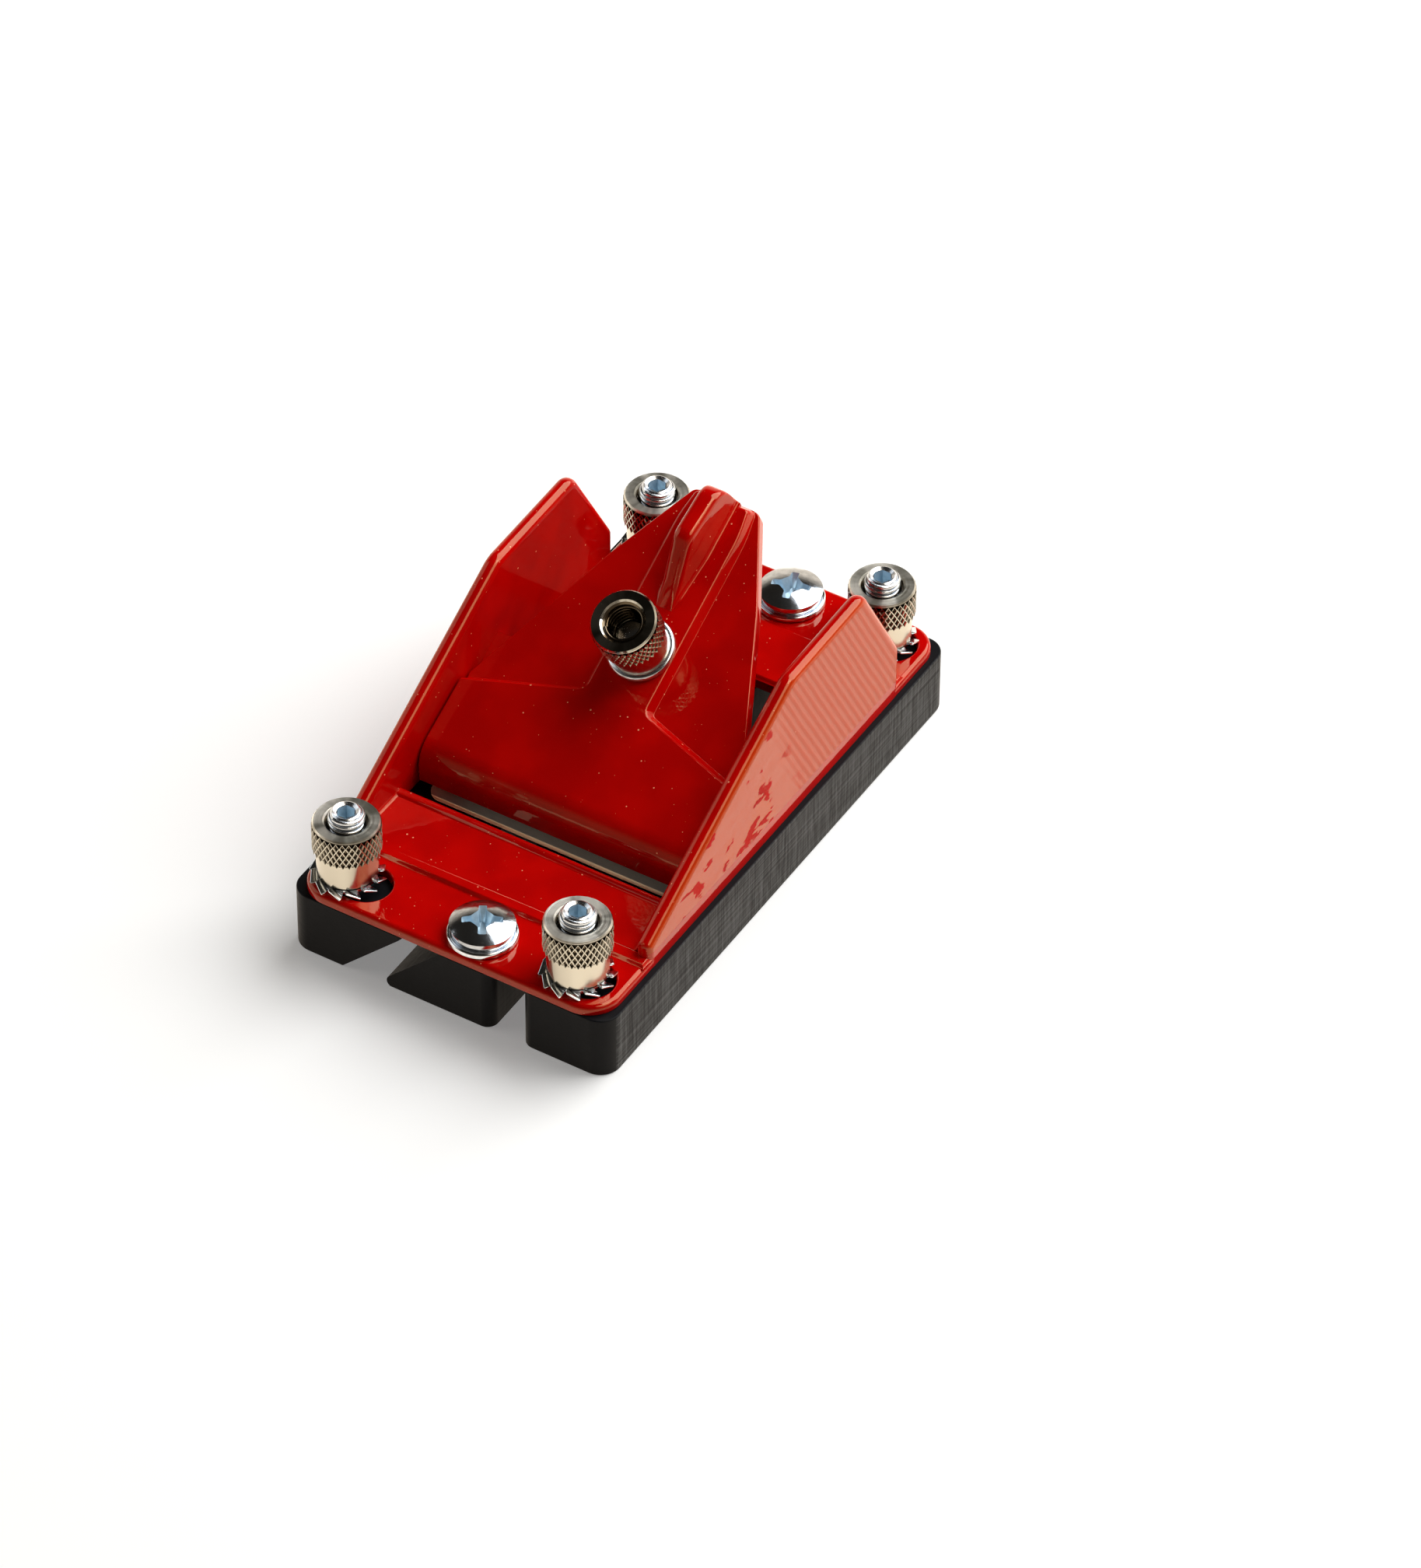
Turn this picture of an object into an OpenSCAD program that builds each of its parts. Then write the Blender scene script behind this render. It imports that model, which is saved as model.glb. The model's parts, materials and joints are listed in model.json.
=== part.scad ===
// Small chamfering plane: a cast body on three guide bars, with a thin blade under a lever cap.
// Millimetres. X runs across the tool, Y to its heel and Z up, from the middle of its sole.

/* [Guide bars] */
// Length of the tool, toe to heel
tool_l = 85; // [84:0.5:92]
// Width over the two outer bars
tool_w = 48.2; // [48:0.1:50]
// Height of the bars
bar_h = 9.5; // [9:0.1:12]
// Radius of the tool's four upright corners
bar_corner_r = 2.9; // [1:0.1:3.5]
// Radius of the upright corners beside the straight slot
slot_corner_r = 1.6; // [0.5:0.1:2.5]
// Angle of the sloping sides to the sole
chamfer_angle = 45; // [42:1:48]
// Where the centre bar's sloping side would meet the sole
vee_x = -10.6; // [-11.2:0.1:-10.2]
// Width of the sloping slot, measured level
vee_gap = 5.44; // [5:0.02:5.6]
// Radius of the centre bar's nose
nose_r = 1; // [0.5:0.1:1.4]
// Radius of the left bar's lower inner corner
foot_r = 1; // [0.4:0.1:1.6]
// Upright side of the centre bar
centre_x = 6.7; // [6.2:0.1:7.2]
// Width of the straight slot
straight_gap = 4.4; // [4.2:0.1:5]
// Depth of the hollow in the bars' tops, under the cutting edge
relief_d = 1; // [0.6:0.1:2]

/* [Base plate] */
// Width of the plate
plate_w = 46.4; // [46:0.1:47.2]
// Thickness at the two end decks
deck_t = 1.4; // [1.2:0.1:2]
// Rise from an end deck to the middle of the plate
step_h = 0.5; // [0.3:0.1:0.8]
// Length of an end deck
deck_l = 10.3; // [10.2:0.05:10.4]
// Radius of the plate's corners
plate_corner_r = 4.5; // [3:0.1:5]
// Length of an adjusting slot
slot_l = 9.8; // [9:0.1:10]
// Width of an adjusting slot
slot_w = 6.8; // [6:0.1:7]
// Middle of an adjusting slot, from the tool's centre line
slot_x = 16.75; // [16.6:0.05:16.9]
// Middle of an adjusting slot, from the end of the plate
slot_inset = 5.03; // [4.9:0.01:5.3]
// Front of the mouth, ahead of the cutting edge
mouth_gap = 2.3; // [2:0.1:3]
// Width of the bead ahead of the mouth
bead_w = 1.6; // [1:0.1:2]
// Height of the bead ahead of the mouth
bead_h = 0.5; // [0.3:0.1:0.7]
// Front edge of the rear deck, from the tool's middle
rear_deck_y = 22; // [20:0.5:24]

/* [Side fins] */
// Length of a fin along its foot
fin_l = 62; // [61:0.1:62.4]
// Thickness of a fin
fin_t = 2.3; // [2:0.1:2.6]
// Height of a fin's front end, over the bars
fin_front_h = 3.8; // [3.2:0.1:4.4]
// Height of a fin's peak, over the bars
fin_peak_h = 23.6; // [22:0.1:25]
// How far the top of a fin falls from the peak to its bend
fin_fall = 0.6; // [0.2:0.1:1]
// Peak of a fin, ahead of its rear end
fin_peak_y = 9; // [8:0.5:10]
// Height of the upright rear end of a fin, over the bars
fin_rear_h = 8.1; // [6:0.1:10]

/* [Bed] */
// Angle of the bed to the sole
bed_angle = 29; // [28:0.5:31]
// Cutting edge, ahead of the tool's middle
edge_y = 18.3; // [18:0.1:18.6]
// How far the cutting edge stands below the plate
edge_drop = 0.2; // [0.1:0.05:0.4]
// Thickness of the bed
bed_t = 3; // [2.4:0.1:3.4]
// Length of the bed's full width, from the cutting edge
bed_l = 24; // [23:0.5:25]
// Length of the bed's middle tongue, from the cutting edge
tongue_l = 36; // [35.7:0.1:38]
// Half width of that tongue
tongue_r = 8; // [6:0.5:9]
// How far the cutting edge stands out past each end of the toe
toe_in = 1; // [0.5:0.1:2]
// Set back of the bed's toe, from the cutting edge
toe_back = 0.9; // [0.8:0.1:1.2]
// Radius of the boss that holds the stud
boss_r = 5; // [4:0.1:6]
// Length of the boss under the bed
boss_l = 4; // [3:0.5:5]
// Stud, from the cutting edge along the bed
stud_s = 28.1; // [27.6:0.1:28.6]

/* [Blade] */
// Length of the blade over its tabs
blade_w = 43; // [42.6:0.1:43.4]
// Length of a cutting edge
blade_edge_w = 37; // [36:0.1:37.4]
// Width of the blade, edge to edge
blade_l = 22; // [21.6:0.1:22.4]
// Thickness of the blade
blade_t = 0.3; // [0.2:0.05:0.4]
// Height of the edge strips, between the edge and the tabs
blade_strip = 4.2; // [3.8:0.1:4.6]
// Length of the cut-out in the blade
blade_slot_l = 26; // [24:0.5:28]
// Width of the cut-out in the blade
blade_slot_w = 4; // [3.6:0.1:5]
// Radius of the hole in the middle of the blade
blade_hole_r = 2.8; // [2.2:0.1:3.2]

/* [Lever cap] */
// Gap between the cap and each fin
cap_gap = 0.25; // [0.2:0.05:0.4]
// Height of the cap's spine over the bed
spine_h = 3.83; // [3.6:0.01:4.1]
// Height of the nose block's crest over the bed
crest_h = 4.62; // [4.4:0.02:4.9]
// Height of the wings over the bed
wing_h = 2.35; // [2.1:0.05:2.6]
// Half width of the spine
spine_r = 4.75; // [4.6:0.05:5]
// Foot of the nose, from the cutting edge
cap_toe = 1.6; // [1.4:0.1:2]
// Crest of the nose, from the cutting edge
crest_s = 3.75; // [3.4:0.05:4.2]
// Radius of the rolled nose
nose_roll_r = 4.2; // [3:0.1:4.4]
// Rear corners of the nose block, from the cutting edge
block_side_s = 15.7; // [14:0.1:16.4]
// Where the nose block meets the spine, from the cutting edge
block_mid_s = 20.75; // [20:0.05:21.5]
// Front corners of the wings, from the cutting edge
wing_s = 17; // [16.6:0.1:18]
// Bend of the wings' edges, from the cutting edge
wing_bend_s = 39; // [37:0.5:41]
// Half width of the cap at that bend
wing_bend_x = 11.15; // [10.6:0.05:12]
// Rear end of the cap, from the cutting edge
cap_end_s = 51.3; // [50.6:0.1:52]
// Half width of the cap's rear end
cap_end_x = 4.9; // [4.85:0.05:5.6]
// Height of the hollow under the cap, over the bed
hollow_h = 1.3; // [0.8:0.1:1.5]
// Half width of the hollow under the nose block
hollow_r = 12; // [8:0.5:16]
// Half width of the thumb rib
rib_r = 1.6; // [1.3:0.1:2]
// Front foot of the thumb rib, from the cutting edge
rib_foot_s = 34.3; // [34:0.1:35]
// Top front corner of the thumb rib, from the cutting edge
rib_kink_s = 42.6; // [42:0.1:43.2]
// Height of that corner over the bed
rib_kink_h = 10; // [9.4:0.1:10.2]
// Rear top of the thumb rib, from the cutting edge
rib_end_s = 50.6; // [50:0.1:51]
// Height of the rear top over the bed
rib_end_h = 8.75; // [8.2:0.05:9]

/* [Screws and nuts] */
// Nominal diameter of every thread
thread_d = 5; // [4.8:0.1:5.1]
// Gap between an outside and an inside thread
thread_gap = 0.05; // [0.03:0.01:0.08]
// Diameter over the knurl
knurl_d = 9; // [8.4:0.1:9.4]
// Diameter of the plain collar
collar_d = 8.1; // [7.6:0.1:8.3]
// Length of a knurled nut
nut_l = 8.5; // [8:0.1:9]
// Length of the knurl
knurl_l = 4.6; // [4:0.1:5]
// Chamfer at the ends of the knurl
knurl_chamfer = 0.28; // [0.15:0.01:0.4]
// Length of a set screw
set_l = 20; // [19:0.5:20.5]
// How far a set screw stands over its nut
set_proud = 1.7; // [1.5:0.1:2.2]
// Width of a set screw's socket across its flats
set_socket = 2.5; // [2:0.1:3]
// Depth of a set screw's socket
socket_d = 2.4; // [1.5:0.1:3]
// Head diameter of a pan head screw
pan_d = 9.3; // [8.8:0.1:9.8]
// Head height of a pan head screw
pan_h = 3.1; // [2.8:0.1:3.4]
// Radius of a pan head's edge
pan_roll = 2.2; // [1.6:0.1:2.4]
// Rise of a pan head's top from that edge to its middle
pan_crown = 0.4; // [0.3:0.05:0.6]
// Shank length of a pan head screw
pan_l = 8; // [6:0.5:9]
// Both pan head screws, from the tool's centre line
pan_x = 2.5; // [2.4:0.05:3]
// Both pan head screws, from the end of the plate
pan_inset = 4.7; // [4.65:0.05:5.2]
// Depth of a pan head screw's cross recess
cross_d = 1.7; // [1.2:0.1:2.2]
// Length of the cross recess
cross_l = 4.9; // [4:0.1:5.2]
// Width of the cross recess
cross_w = 1.05; // [0.8:0.05:1.3]
// Gap round a screw in a plain hole
hole_gap = 0.15; // [0.1:0.05:0.3]
// How far the stud's end lies below the top of its nut
stud_sunk = 4.4; // [4:0.1:5]

/* [Washers] */
// Outer diameter of a lock washer
lock_d = 10; // [9.6:0.1:10.1]
// Outer diameter of a lock washer's ring, inside the teeth
lock_ring_d = 7.8; // [7.4:0.1:8.2]
// Thickness of a lock washer
lock_t = 0.6; // [0.5:0.05:0.7]
// Height over a lock washer's twisted teeth
lock_h = 1.1; // [1:0.02:1.2]
// Twist of a tooth
lock_twist = 28; // [24:1:32]
// Number of teeth
lock_teeth = 12; // [10:1:13]
// Outer diameter of the cap's washer
cap_washer_d = 9.2; // [8.8:0.1:9.3]
// Thickness of the cap's washer
cap_washer_t = 1; // [0.8:0.1:1.2]

/* [Setting] */
// How far the left bar stands outside the middle of its slots
left_set = 1.35; // [0.9:0.05:1.6]
// How far the right bar stands inside the middle of its slots
right_set = 0.18; // [0:0.02:0.5]

/* [Hidden] */
$fn = 64;

RED = "firebrick";
BLACK = "dimgray";
NICKEL = "tan";
ZINC = "silver";
STEEL = "slategray";

// Cut past a face, so that nothing thin is left
past = 1;
// Left between faces that only just touch
seat_gap = 0.01;

// Levels
deck_z = bar_h + deck_t;
mid_z = deck_z + step_h;
nut_z = deck_z + lock_h;
set_top_z = nut_z + nut_l + set_proud;

// Places along the tool
end_y = tool_l / 2;
step_y = end_y - deck_l;
fin_y = fin_l / 2;
slot_y = end_y - slot_inset;
pan_y = end_y - pan_inset;
mouth_y = edge_y + mouth_gap;

// Places across the tool
left_bar_x = -tool_w / 2;
left_foot_x = vee_x - vee_gap;
right_bar_x = centre_x + straight_gap;
fin_in_x = plate_w / 2 - fin_t;
cap_x = fin_in_x - cap_gap;
left_x = -slot_x - left_set;
right_x = slot_x - right_set;

// Threads and holes
screw_r = thread_d / 2 - thread_gap;
thread_r = thread_d / 2;
bore_r = thread_r + thread_gap;
plain_r = thread_r + hole_gap;

// Travel of a set screw each way from the middle of its slot
slot_spare = 0.1;
slot_travel = slot_l / 2 - thread_r - slot_spare;
relief_left_x = blade_edge_w / 2 + slot_travel + left_set + hole_gap;
relief_right_x = blade_edge_w / 2 + slot_travel + right_set + hole_gap;

// The set screws' lower ends, and the depth of their holes
set_z = set_top_z - set_l;
hole_spare = 0.4;
edge_z = bar_h - edge_drop;
pan_z = deck_z - pan_l;

// The blade's tabs lie in slots in the fins
tab_gap = 0.2;
tab_s = blade_strip + 0.6;
tab_l = blade_l - 2 * tab_s;

// Levels on the cap and the stud, over the bed
washer_h = spine_h + cap_washer_t;
stud_top_h = washer_h + nut_l - stud_sunk;
wing_slope = (cap_x - wing_bend_x) / (wing_bend_s - wing_s);

function unit(v) = v / norm(v);

// Points of an arc of radius r that rounds the corner p between a and b
function corner(a, p, b, r, n) =
    let (
        u = unit(a - p),
        v = unit(b - p),
        half = acos(u * v) / 2,
        c = p + unit(u + v) * r / sin(half),
        s = p + u * r / tan(half) - c,
        turn = sign(u.y * v.x - u.x * v.y) * (180 - 2 * half),
        start = atan2(s.y, s.x)
    )
    [for (i = [0 : n]) c + r * [cos(start + turn * i / n), sin(start + turn * i / n)]];

// An outline of [x, y, radius] corners, each one rounded
function rounded(pts, n = 6) =
    let (k = len(pts))
    [for (i = [0 : k - 1])
        let (
            p = [pts[i].x, pts[i].y],
            a = pts[(i + k - 1) % k],
            b = pts[(i + 1) % k]
        )
        each pts[i].z == 0 ? [p] : corner([a.x, a.y], p, [b.x, b.y], pts[i].z, n)];

// Puts a shape on the bed: Y runs up the bed from the cutting edge, Z stands off it
module on_bed() {
    translate([0, -edge_y, edge_z])
        rotate([bed_angle, 0, 0])
            children();
}

// Extrudes a side view, drawn as [Y, Z], across the tool
module across(w) {
    rotate([90, 0, 90])
        linear_extrude(w, center = true)
            children();
}

// Extrudes an end view, drawn as [X, Z], along the whole tool
module along() {
    rotate([90, 0, 0])
        linear_extrude(tool_l, center = true)
            children();
}

// A level outline from x0 to x1, with its own corner radius at each side
module level(x0, x1, l, r0, r1) {
    translate([x0 + r0, -l / 2])
        square([x1 - x0 - r0 - r1, l]);
    translate([x0, r0 - l / 2])
        square([x1 - x0 - r1, l - 2 * r0]);
    translate([x0 + r0, r1 - l / 2])
        square([x1 - x0 - r0, l - 2 * r1]);
    for (side = [-1, 1]) {
        translate([x0 + r0, side * (l / 2 - r0)])
            circle(r0);
        translate([x1 - r1, side * (l / 2 - r1)])
            circle(r1);
    }
}

// An outline with half round ends, l long across the tool
module long_hole(l, w) {
    square([l - w, w], center = true);
    for (side = [-1, 1])
        translate([side * (l - w) / 2, 0])
            circle(w / 2);
}

// A hollow across a bar's top, under the cutting edge
module relief(x0, x1) {
    translate([x0, -mouth_y, bar_h - relief_d])
        cube([x1 - x0, mouth_gap * 2, relief_d + past]);
}

// A hole down into a bar for a screw that ends at level z
module tapped(x, y, z) {
    translate([x, y, z - hole_spare])
        cylinder(r = thread_r, h = bar_h - z + hole_spare + past);
}

// End view of the centre bar, with its rounded nose
module centre_section() {
    half = chamfer_angle / 2;
    reach = nose_r / tan(half);
    polygon([
        [vee_x + reach, 0],
        [centre_x, 0],
        [centre_x, bar_h],
        [vee_x + bar_h / tan(chamfer_angle), bar_h],
        [vee_x + reach * cos(chamfer_angle), reach * sin(chamfer_angle)]
    ]);
    translate([vee_x + reach, nose_r])
        circle(nose_r);
}

// End view of the left bar, which leans over the sloping slot
module left_section() {
    reach = foot_r * tan(chamfer_angle / 2);
    polygon([
        [left_bar_x, 0],
        [left_foot_x - reach, 0],
        [left_foot_x + reach * cos(chamfer_angle), reach * sin(chamfer_angle)],
        [left_foot_x + bar_h / tan(chamfer_angle), bar_h],
        [left_bar_x, bar_h]
    ]);
    translate([left_foot_x - reach, foot_r])
        circle(foot_r);
}

module centre_bar() {
    color(BLACK)
        difference() {
            intersection() {
                along() centre_section();
                linear_extrude(bar_h)
                    level(vee_x, centre_x, tool_l, foot_r, slot_corner_r);
            }
            relief(vee_x - past, centre_x + past);
            for (side = [-1, 1])
                tapped(pan_x, side * pan_y, pan_z);
        }
}

module left_bar() {
    color(BLACK)
        difference() {
            intersection() {
                along() left_section();
                linear_extrude(bar_h)
                    level(left_bar_x, vee_x + bar_h, tool_l, bar_corner_r, foot_r);
            }
            relief(-relief_left_x, vee_x + bar_h);
            for (side = [-1, 1])
                tapped(left_x, side * slot_y, set_z);
        }
}

module right_bar() {
    color(BLACK)
        difference() {
            linear_extrude(bar_h)
                level(right_bar_x, tool_w / 2, tool_l, slot_corner_r, bar_corner_r);
            relief(right_bar_x - past, relief_right_x);
            for (side = [-1, 1])
                tapped(right_x, side * slot_y, set_z);
        }
}

// Side view of a fin
function fin_outline() =
    let (
        bend_h = fin_peak_h - fin_fall,
        bend_y = -fin_y + (bend_h - fin_front_h) / tan(bed_angle)
    )
    rounded([
        [-fin_y, bar_h, 0],
        [fin_y, bar_h, 0],
        [fin_y, bar_h + fin_rear_h, 1],
        [fin_y - fin_peak_y, bar_h + fin_peak_h, 1.5],
        [bend_y, bar_h + bend_h, 5],
        [-fin_y, bar_h + fin_front_h, 0.8]
    ]);

module fins() {
    for (side = [-1, 1])
        translate([side * (fin_in_x + fin_t / 2), 0, 0])
            across(fin_t)
                polygon(fin_outline());
}

// The plate: two end decks, a raised middle and the opening between the fins
module base_plate() {
    difference() {
        union() {
            translate([0, 0, bar_h])
                linear_extrude(deck_t)
                    level(-plate_w / 2, plate_w / 2, tool_l, plate_corner_r, plate_corner_r);
            translate([-plate_w / 2, -step_y, bar_h])
                cube([plate_w, 2 * step_y, mid_z - bar_h]);
            across(2 * fin_in_x)
                polygon([
                    [-mouth_y - bead_w, mid_z - step_h / 2],
                    [-mouth_y, mid_z - step_h / 2],
                    [-mouth_y, mid_z + bead_h / 2],
                    [-mouth_y - bead_w / 3, mid_z + bead_h],
                    [-mouth_y - bead_w * 2 / 3, mid_z + bead_h]
                ]);
        }
        translate([-fin_in_x, -mouth_y, bar_h - past])
            cube([2 * fin_in_x, mouth_y + rear_deck_y, mid_z + bead_h]);
        for (side = [-1, 1]) {
            for (x = [-slot_x, slot_x])
                translate([x, side * slot_y, bar_h - past])
                    linear_extrude(deck_t + 2 * past)
                        long_hole(slot_l, slot_w);
            translate([pan_x, side * pan_y, bar_h - past])
                cylinder(r = plain_r, h = deck_t + 2 * past);
        }
    }
}

// The sloping bed, its toe notched at both ends, with a tongue and a boss for the stud
module bed() {
    notch_x = blade_edge_w / 2 - toe_in;
    difference() {
        on_bed() {
            translate([-fin_in_x - fin_t / 2, toe_back, -bed_t])
                cube([2 * fin_in_x + fin_t, bed_l - toe_back, bed_t]);
            translate([-tongue_r, bed_l - past, -bed_t])
                cube([2 * tongue_r, tongue_l - bed_l + past, bed_t]);
            translate([0, stud_s, -bed_t - boss_l])
                cylinder(r = boss_r, h = boss_l + bed_t);
        }
        translate([-plate_w, -tool_l, bar_h - 2 * bed_t])
            cube([2 * plate_w, 2 * tool_l, 2 * bed_t]);
        on_bed() {
            for (side = [0, 1])
                mirror([side, 0, 0])
                    translate([notch_x, -past, -2 * bed_t])
                        cube([fin_in_x - notch_x, blade_strip + past, 4 * bed_t]);
            translate([0, stud_s, -bed_t - boss_l - past])
                cylinder(r = thread_r, h = bed_t + boss_l + 2 * past);
        }
    }
}

// Slots in the fins that the blade's tabs spring into
module tab_slots() {
    on_bed()
        translate([-blade_w / 2 - tab_gap, tab_s - tab_gap, 0])
            cube([blade_w + 2 * tab_gap, tab_l + 2 * tab_gap, blade_t + tab_gap]);
}

module plane_body() {
    color(RED)
        difference() {
            union() {
                base_plate();
                fins();
                bed();
            }
            tab_slots();
        }
}

// A thin blade with an edge at each side, a tab at each end and a cut-out along its middle
module blade() {
    color(STEEL)
        on_bed()
            translate([0, blade_l / 2, 0])
                linear_extrude(blade_t)
                    difference() {
                        union() {
                            level(-blade_edge_w / 2, blade_edge_w / 2, blade_l, 1.5, 1.5);
                            level(-blade_w / 2, blade_w / 2, tab_l, 1, 1);
                        }
                        long_hole(blade_slot_l, blade_slot_w);
                        circle(blade_hole_r);
                    }
}

// Plan of the whole cap
function cap_outline() = rounded([
    [-cap_x, cap_toe, 0],
    [cap_x, cap_toe, 0],
    [cap_x, wing_s, 1],
    [wing_bend_x, wing_bend_s, 30],
    [cap_end_x, cap_end_s, 1.2],
    [-cap_end_x, cap_end_s, 1.2],
    [-wing_bend_x, wing_bend_s, 30],
    [-cap_x, wing_s, 1]
]);

// Plan of its raised part, the nose block and the spine
function spine_outline() = rounded([
    [-cap_x, cap_toe, 0],
    [cap_x, cap_toe, 0],
    [cap_x, block_side_s, 0],
    [spine_r, block_mid_s, 0.8],
    [spine_r, cap_end_s, 0],
    [-spine_r, cap_end_s, 0],
    [-spine_r, block_mid_s, 0.8],
    [-cap_x, block_side_s, 0]
]);

// Side view of the cap without its rib, over the blade
function cap_side() = rounded([
    [cap_toe, blade_t, 0],
    [cap_end_s, blade_t, 0],
    [cap_end_s, spine_h, 0],
    [block_mid_s, spine_h, 8],
    [crest_s, crest_h, nose_roll_r]
], 10);

module cap_blank() {
    intersection() {
        across(2 * cap_x)
            polygon(cap_side());
        union() {
            linear_extrude(wing_h)
                polygon(cap_outline());
            linear_extrude(crest_h)
                polygon(spine_outline());
        }
    }
}

module thumb_rib() {
    sunk = 0.5;
    tail = 1;
    across(2 * rib_r)
        polygon(rounded([
            [rib_foot_s, spine_h - sunk, 0],
            [cap_end_s, spine_h - sunk, 0],
            [cap_end_s, spine_h + tail, 0],
            [rib_end_s, rib_end_h, 2],
            [rib_kink_s, rib_kink_h, 1.2],
            [rib_foot_s, spine_h, 0]
        ]));
}

module lever_cap() {
    hollow_s = 5.5;
    heel_gap = 0.5;
    heel_s = stud_s + boss_r + heel_gap;
    heel_l = 2;
    color(RED)
        on_bed() {
            difference() {
                union() {
                    cap_blank();
                    thumb_rib();
                }
                translate([-hollow_r, hollow_s, -past])
                    cube([2 * hollow_r, block_side_s - hollow_s, hollow_h + past]);
                translate([-spine_r, block_side_s - past, -past])
                    cube([2 * spine_r, heel_s - block_side_s + past, hollow_h + past]);
                translate([0, stud_s, -past])
                    cylinder(r = plain_r, h = spine_h + 2 * past);
            }
            translate([-spine_r, heel_s, seat_gap])
                cube([2 * spine_r, heel_l, wing_h - seat_gap]);
        }
}

module cap_stud() {
    color(ZINC)
        on_bed()
            translate([0, stud_s, -bed_t - boss_l])
                cylinder(r = screw_r, h = bed_t + boss_l + stud_top_h);
}

// A knurled nut, standing on its collar
module knurled_nut() {
    r = knurl_d / 2;
    lead = 0.3;
    rotate_extrude()
        polygon([
            [bore_r, 0],
            [collar_d / 2, 0],
            [collar_d / 2, nut_l - knurl_l],
            [r - knurl_chamfer, nut_l - knurl_l],
            [r, nut_l - knurl_l + knurl_chamfer],
            [r, nut_l - knurl_chamfer],
            [r - knurl_chamfer, nut_l],
            [bore_r + lead, nut_l],
            [bore_r, nut_l - lead]
        ]);
}

module cap_nut() {
    color(NICKEL)
        on_bed()
            translate([0, stud_s, washer_h])
                knurled_nut();
}

module cap_washer() {
    color(ZINC)
        on_bed()
            translate([0, stud_s, spine_h])
                difference() {
                    cylinder(d = cap_washer_d, h = cap_washer_t);
                    translate([0, 0, -past])
                        cylinder(r = plain_r, h = cap_washer_t + 2 * past);
                }
}

// A lock washer: a flat ring with twisted teeth round it
module lock_washer(x, y) {
    ring_r = lock_ring_d / 2;
    tooth_l = lock_d / 2 - ring_r;
    tooth_w = (lock_h - 2 * seat_gap - lock_t * cos(lock_twist)) / sin(lock_twist);
    root = 0.3;
    color(ZINC)
        translate([x, y, deck_z + lock_h / 2])
            difference() {
                union() {
                    translate([0, 0, -lock_t / 2])
                        cylinder(r = ring_r, h = lock_t);
                    for (i = [0 : lock_teeth - 1])
                        rotate([0, 0, 360 * i / lock_teeth])
                            translate([ring_r + (tooth_l - root) / 2, 0, 0])
                                rotate([lock_twist, 0, 0])
                                    cube([tooth_l + root, tooth_w, lock_t], center = true);
                }
                cylinder(r = plain_r, h = 2 * lock_h, center = true);
            }
}

// A set screw with a hexagon socket and a pointed cup end
module set_screw(x, y) {
    point = 0.8;
    color(ZINC)
        translate([x, y, set_z])
            difference() {
                union() {
                    cylinder(r1 = screw_r - point, r2 = screw_r, h = point);
                    translate([0, 0, point])
                        cylinder(r = screw_r, h = set_l - point - thread_gap);
                }
                translate([0, 0, set_l - socket_d])
                    cylinder(r = set_socket / 2 / cos(30), h = socket_d + past, $fn = 6);
            }
}

// A pan head screw with a cross recess
module pan_screw(y) {
    rim_h = pan_h / 3;
    color(ZINC)
        translate([pan_x, y, deck_z])
            difference() {
                union() {
                    translate([0, 0, -pan_l])
                        cylinder(r = screw_r, h = pan_l + rim_h);
                    rotate_extrude()
                        polygon(rounded([
                            [0, 0, 0],
                            [pan_d / 2, 0, 0],
                            [pan_d / 2, pan_h - pan_crown, pan_roll],
                            [0, pan_h, 0]
                        ]));
                }
                for (turn = [0, 90])
                    rotate([0, 0, turn])
                        translate([0, 0, pan_h - cross_d / 2 + past / 2])
                            cube([cross_l, cross_w, cross_d + past], center = true);
            }
}

module nut_at(x, y) {
    color(NICKEL)
        translate([x, y, nut_z])
            knurled_nut();
}

plane_body();
centre_bar();
left_bar();
right_bar();
blade();
lever_cap();
cap_stud();
cap_washer();
cap_nut();
pan_screw(-pan_y);  // front_pan_screw
pan_screw(pan_y);  // rear_pan_screw
set_screw(left_x, -slot_y);  // left_front_set_screw
set_screw(left_x, slot_y);  // left_rear_set_screw
set_screw(right_x, -slot_y);  // right_front_set_screw
set_screw(right_x, slot_y);  // right_rear_set_screw
lock_washer(left_x, -slot_y);  // left_front_washer
lock_washer(left_x, slot_y);  // left_rear_washer
lock_washer(right_x, -slot_y);  // right_front_washer
lock_washer(right_x, slot_y);  // right_rear_washer
nut_at(left_x, -slot_y);  // left_front_nut
nut_at(left_x, slot_y);  // left_rear_nut
nut_at(right_x, -slot_y);  // right_front_nut
nut_at(right_x, slot_y);  // right_rear_nut
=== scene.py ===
import json
import math
from contextlib import contextmanager

import bmesh
import bpy
from bpy.props import FloatProperty, FloatVectorProperty, IntProperty, PointerProperty
from mathutils import Matrix, Vector


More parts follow.
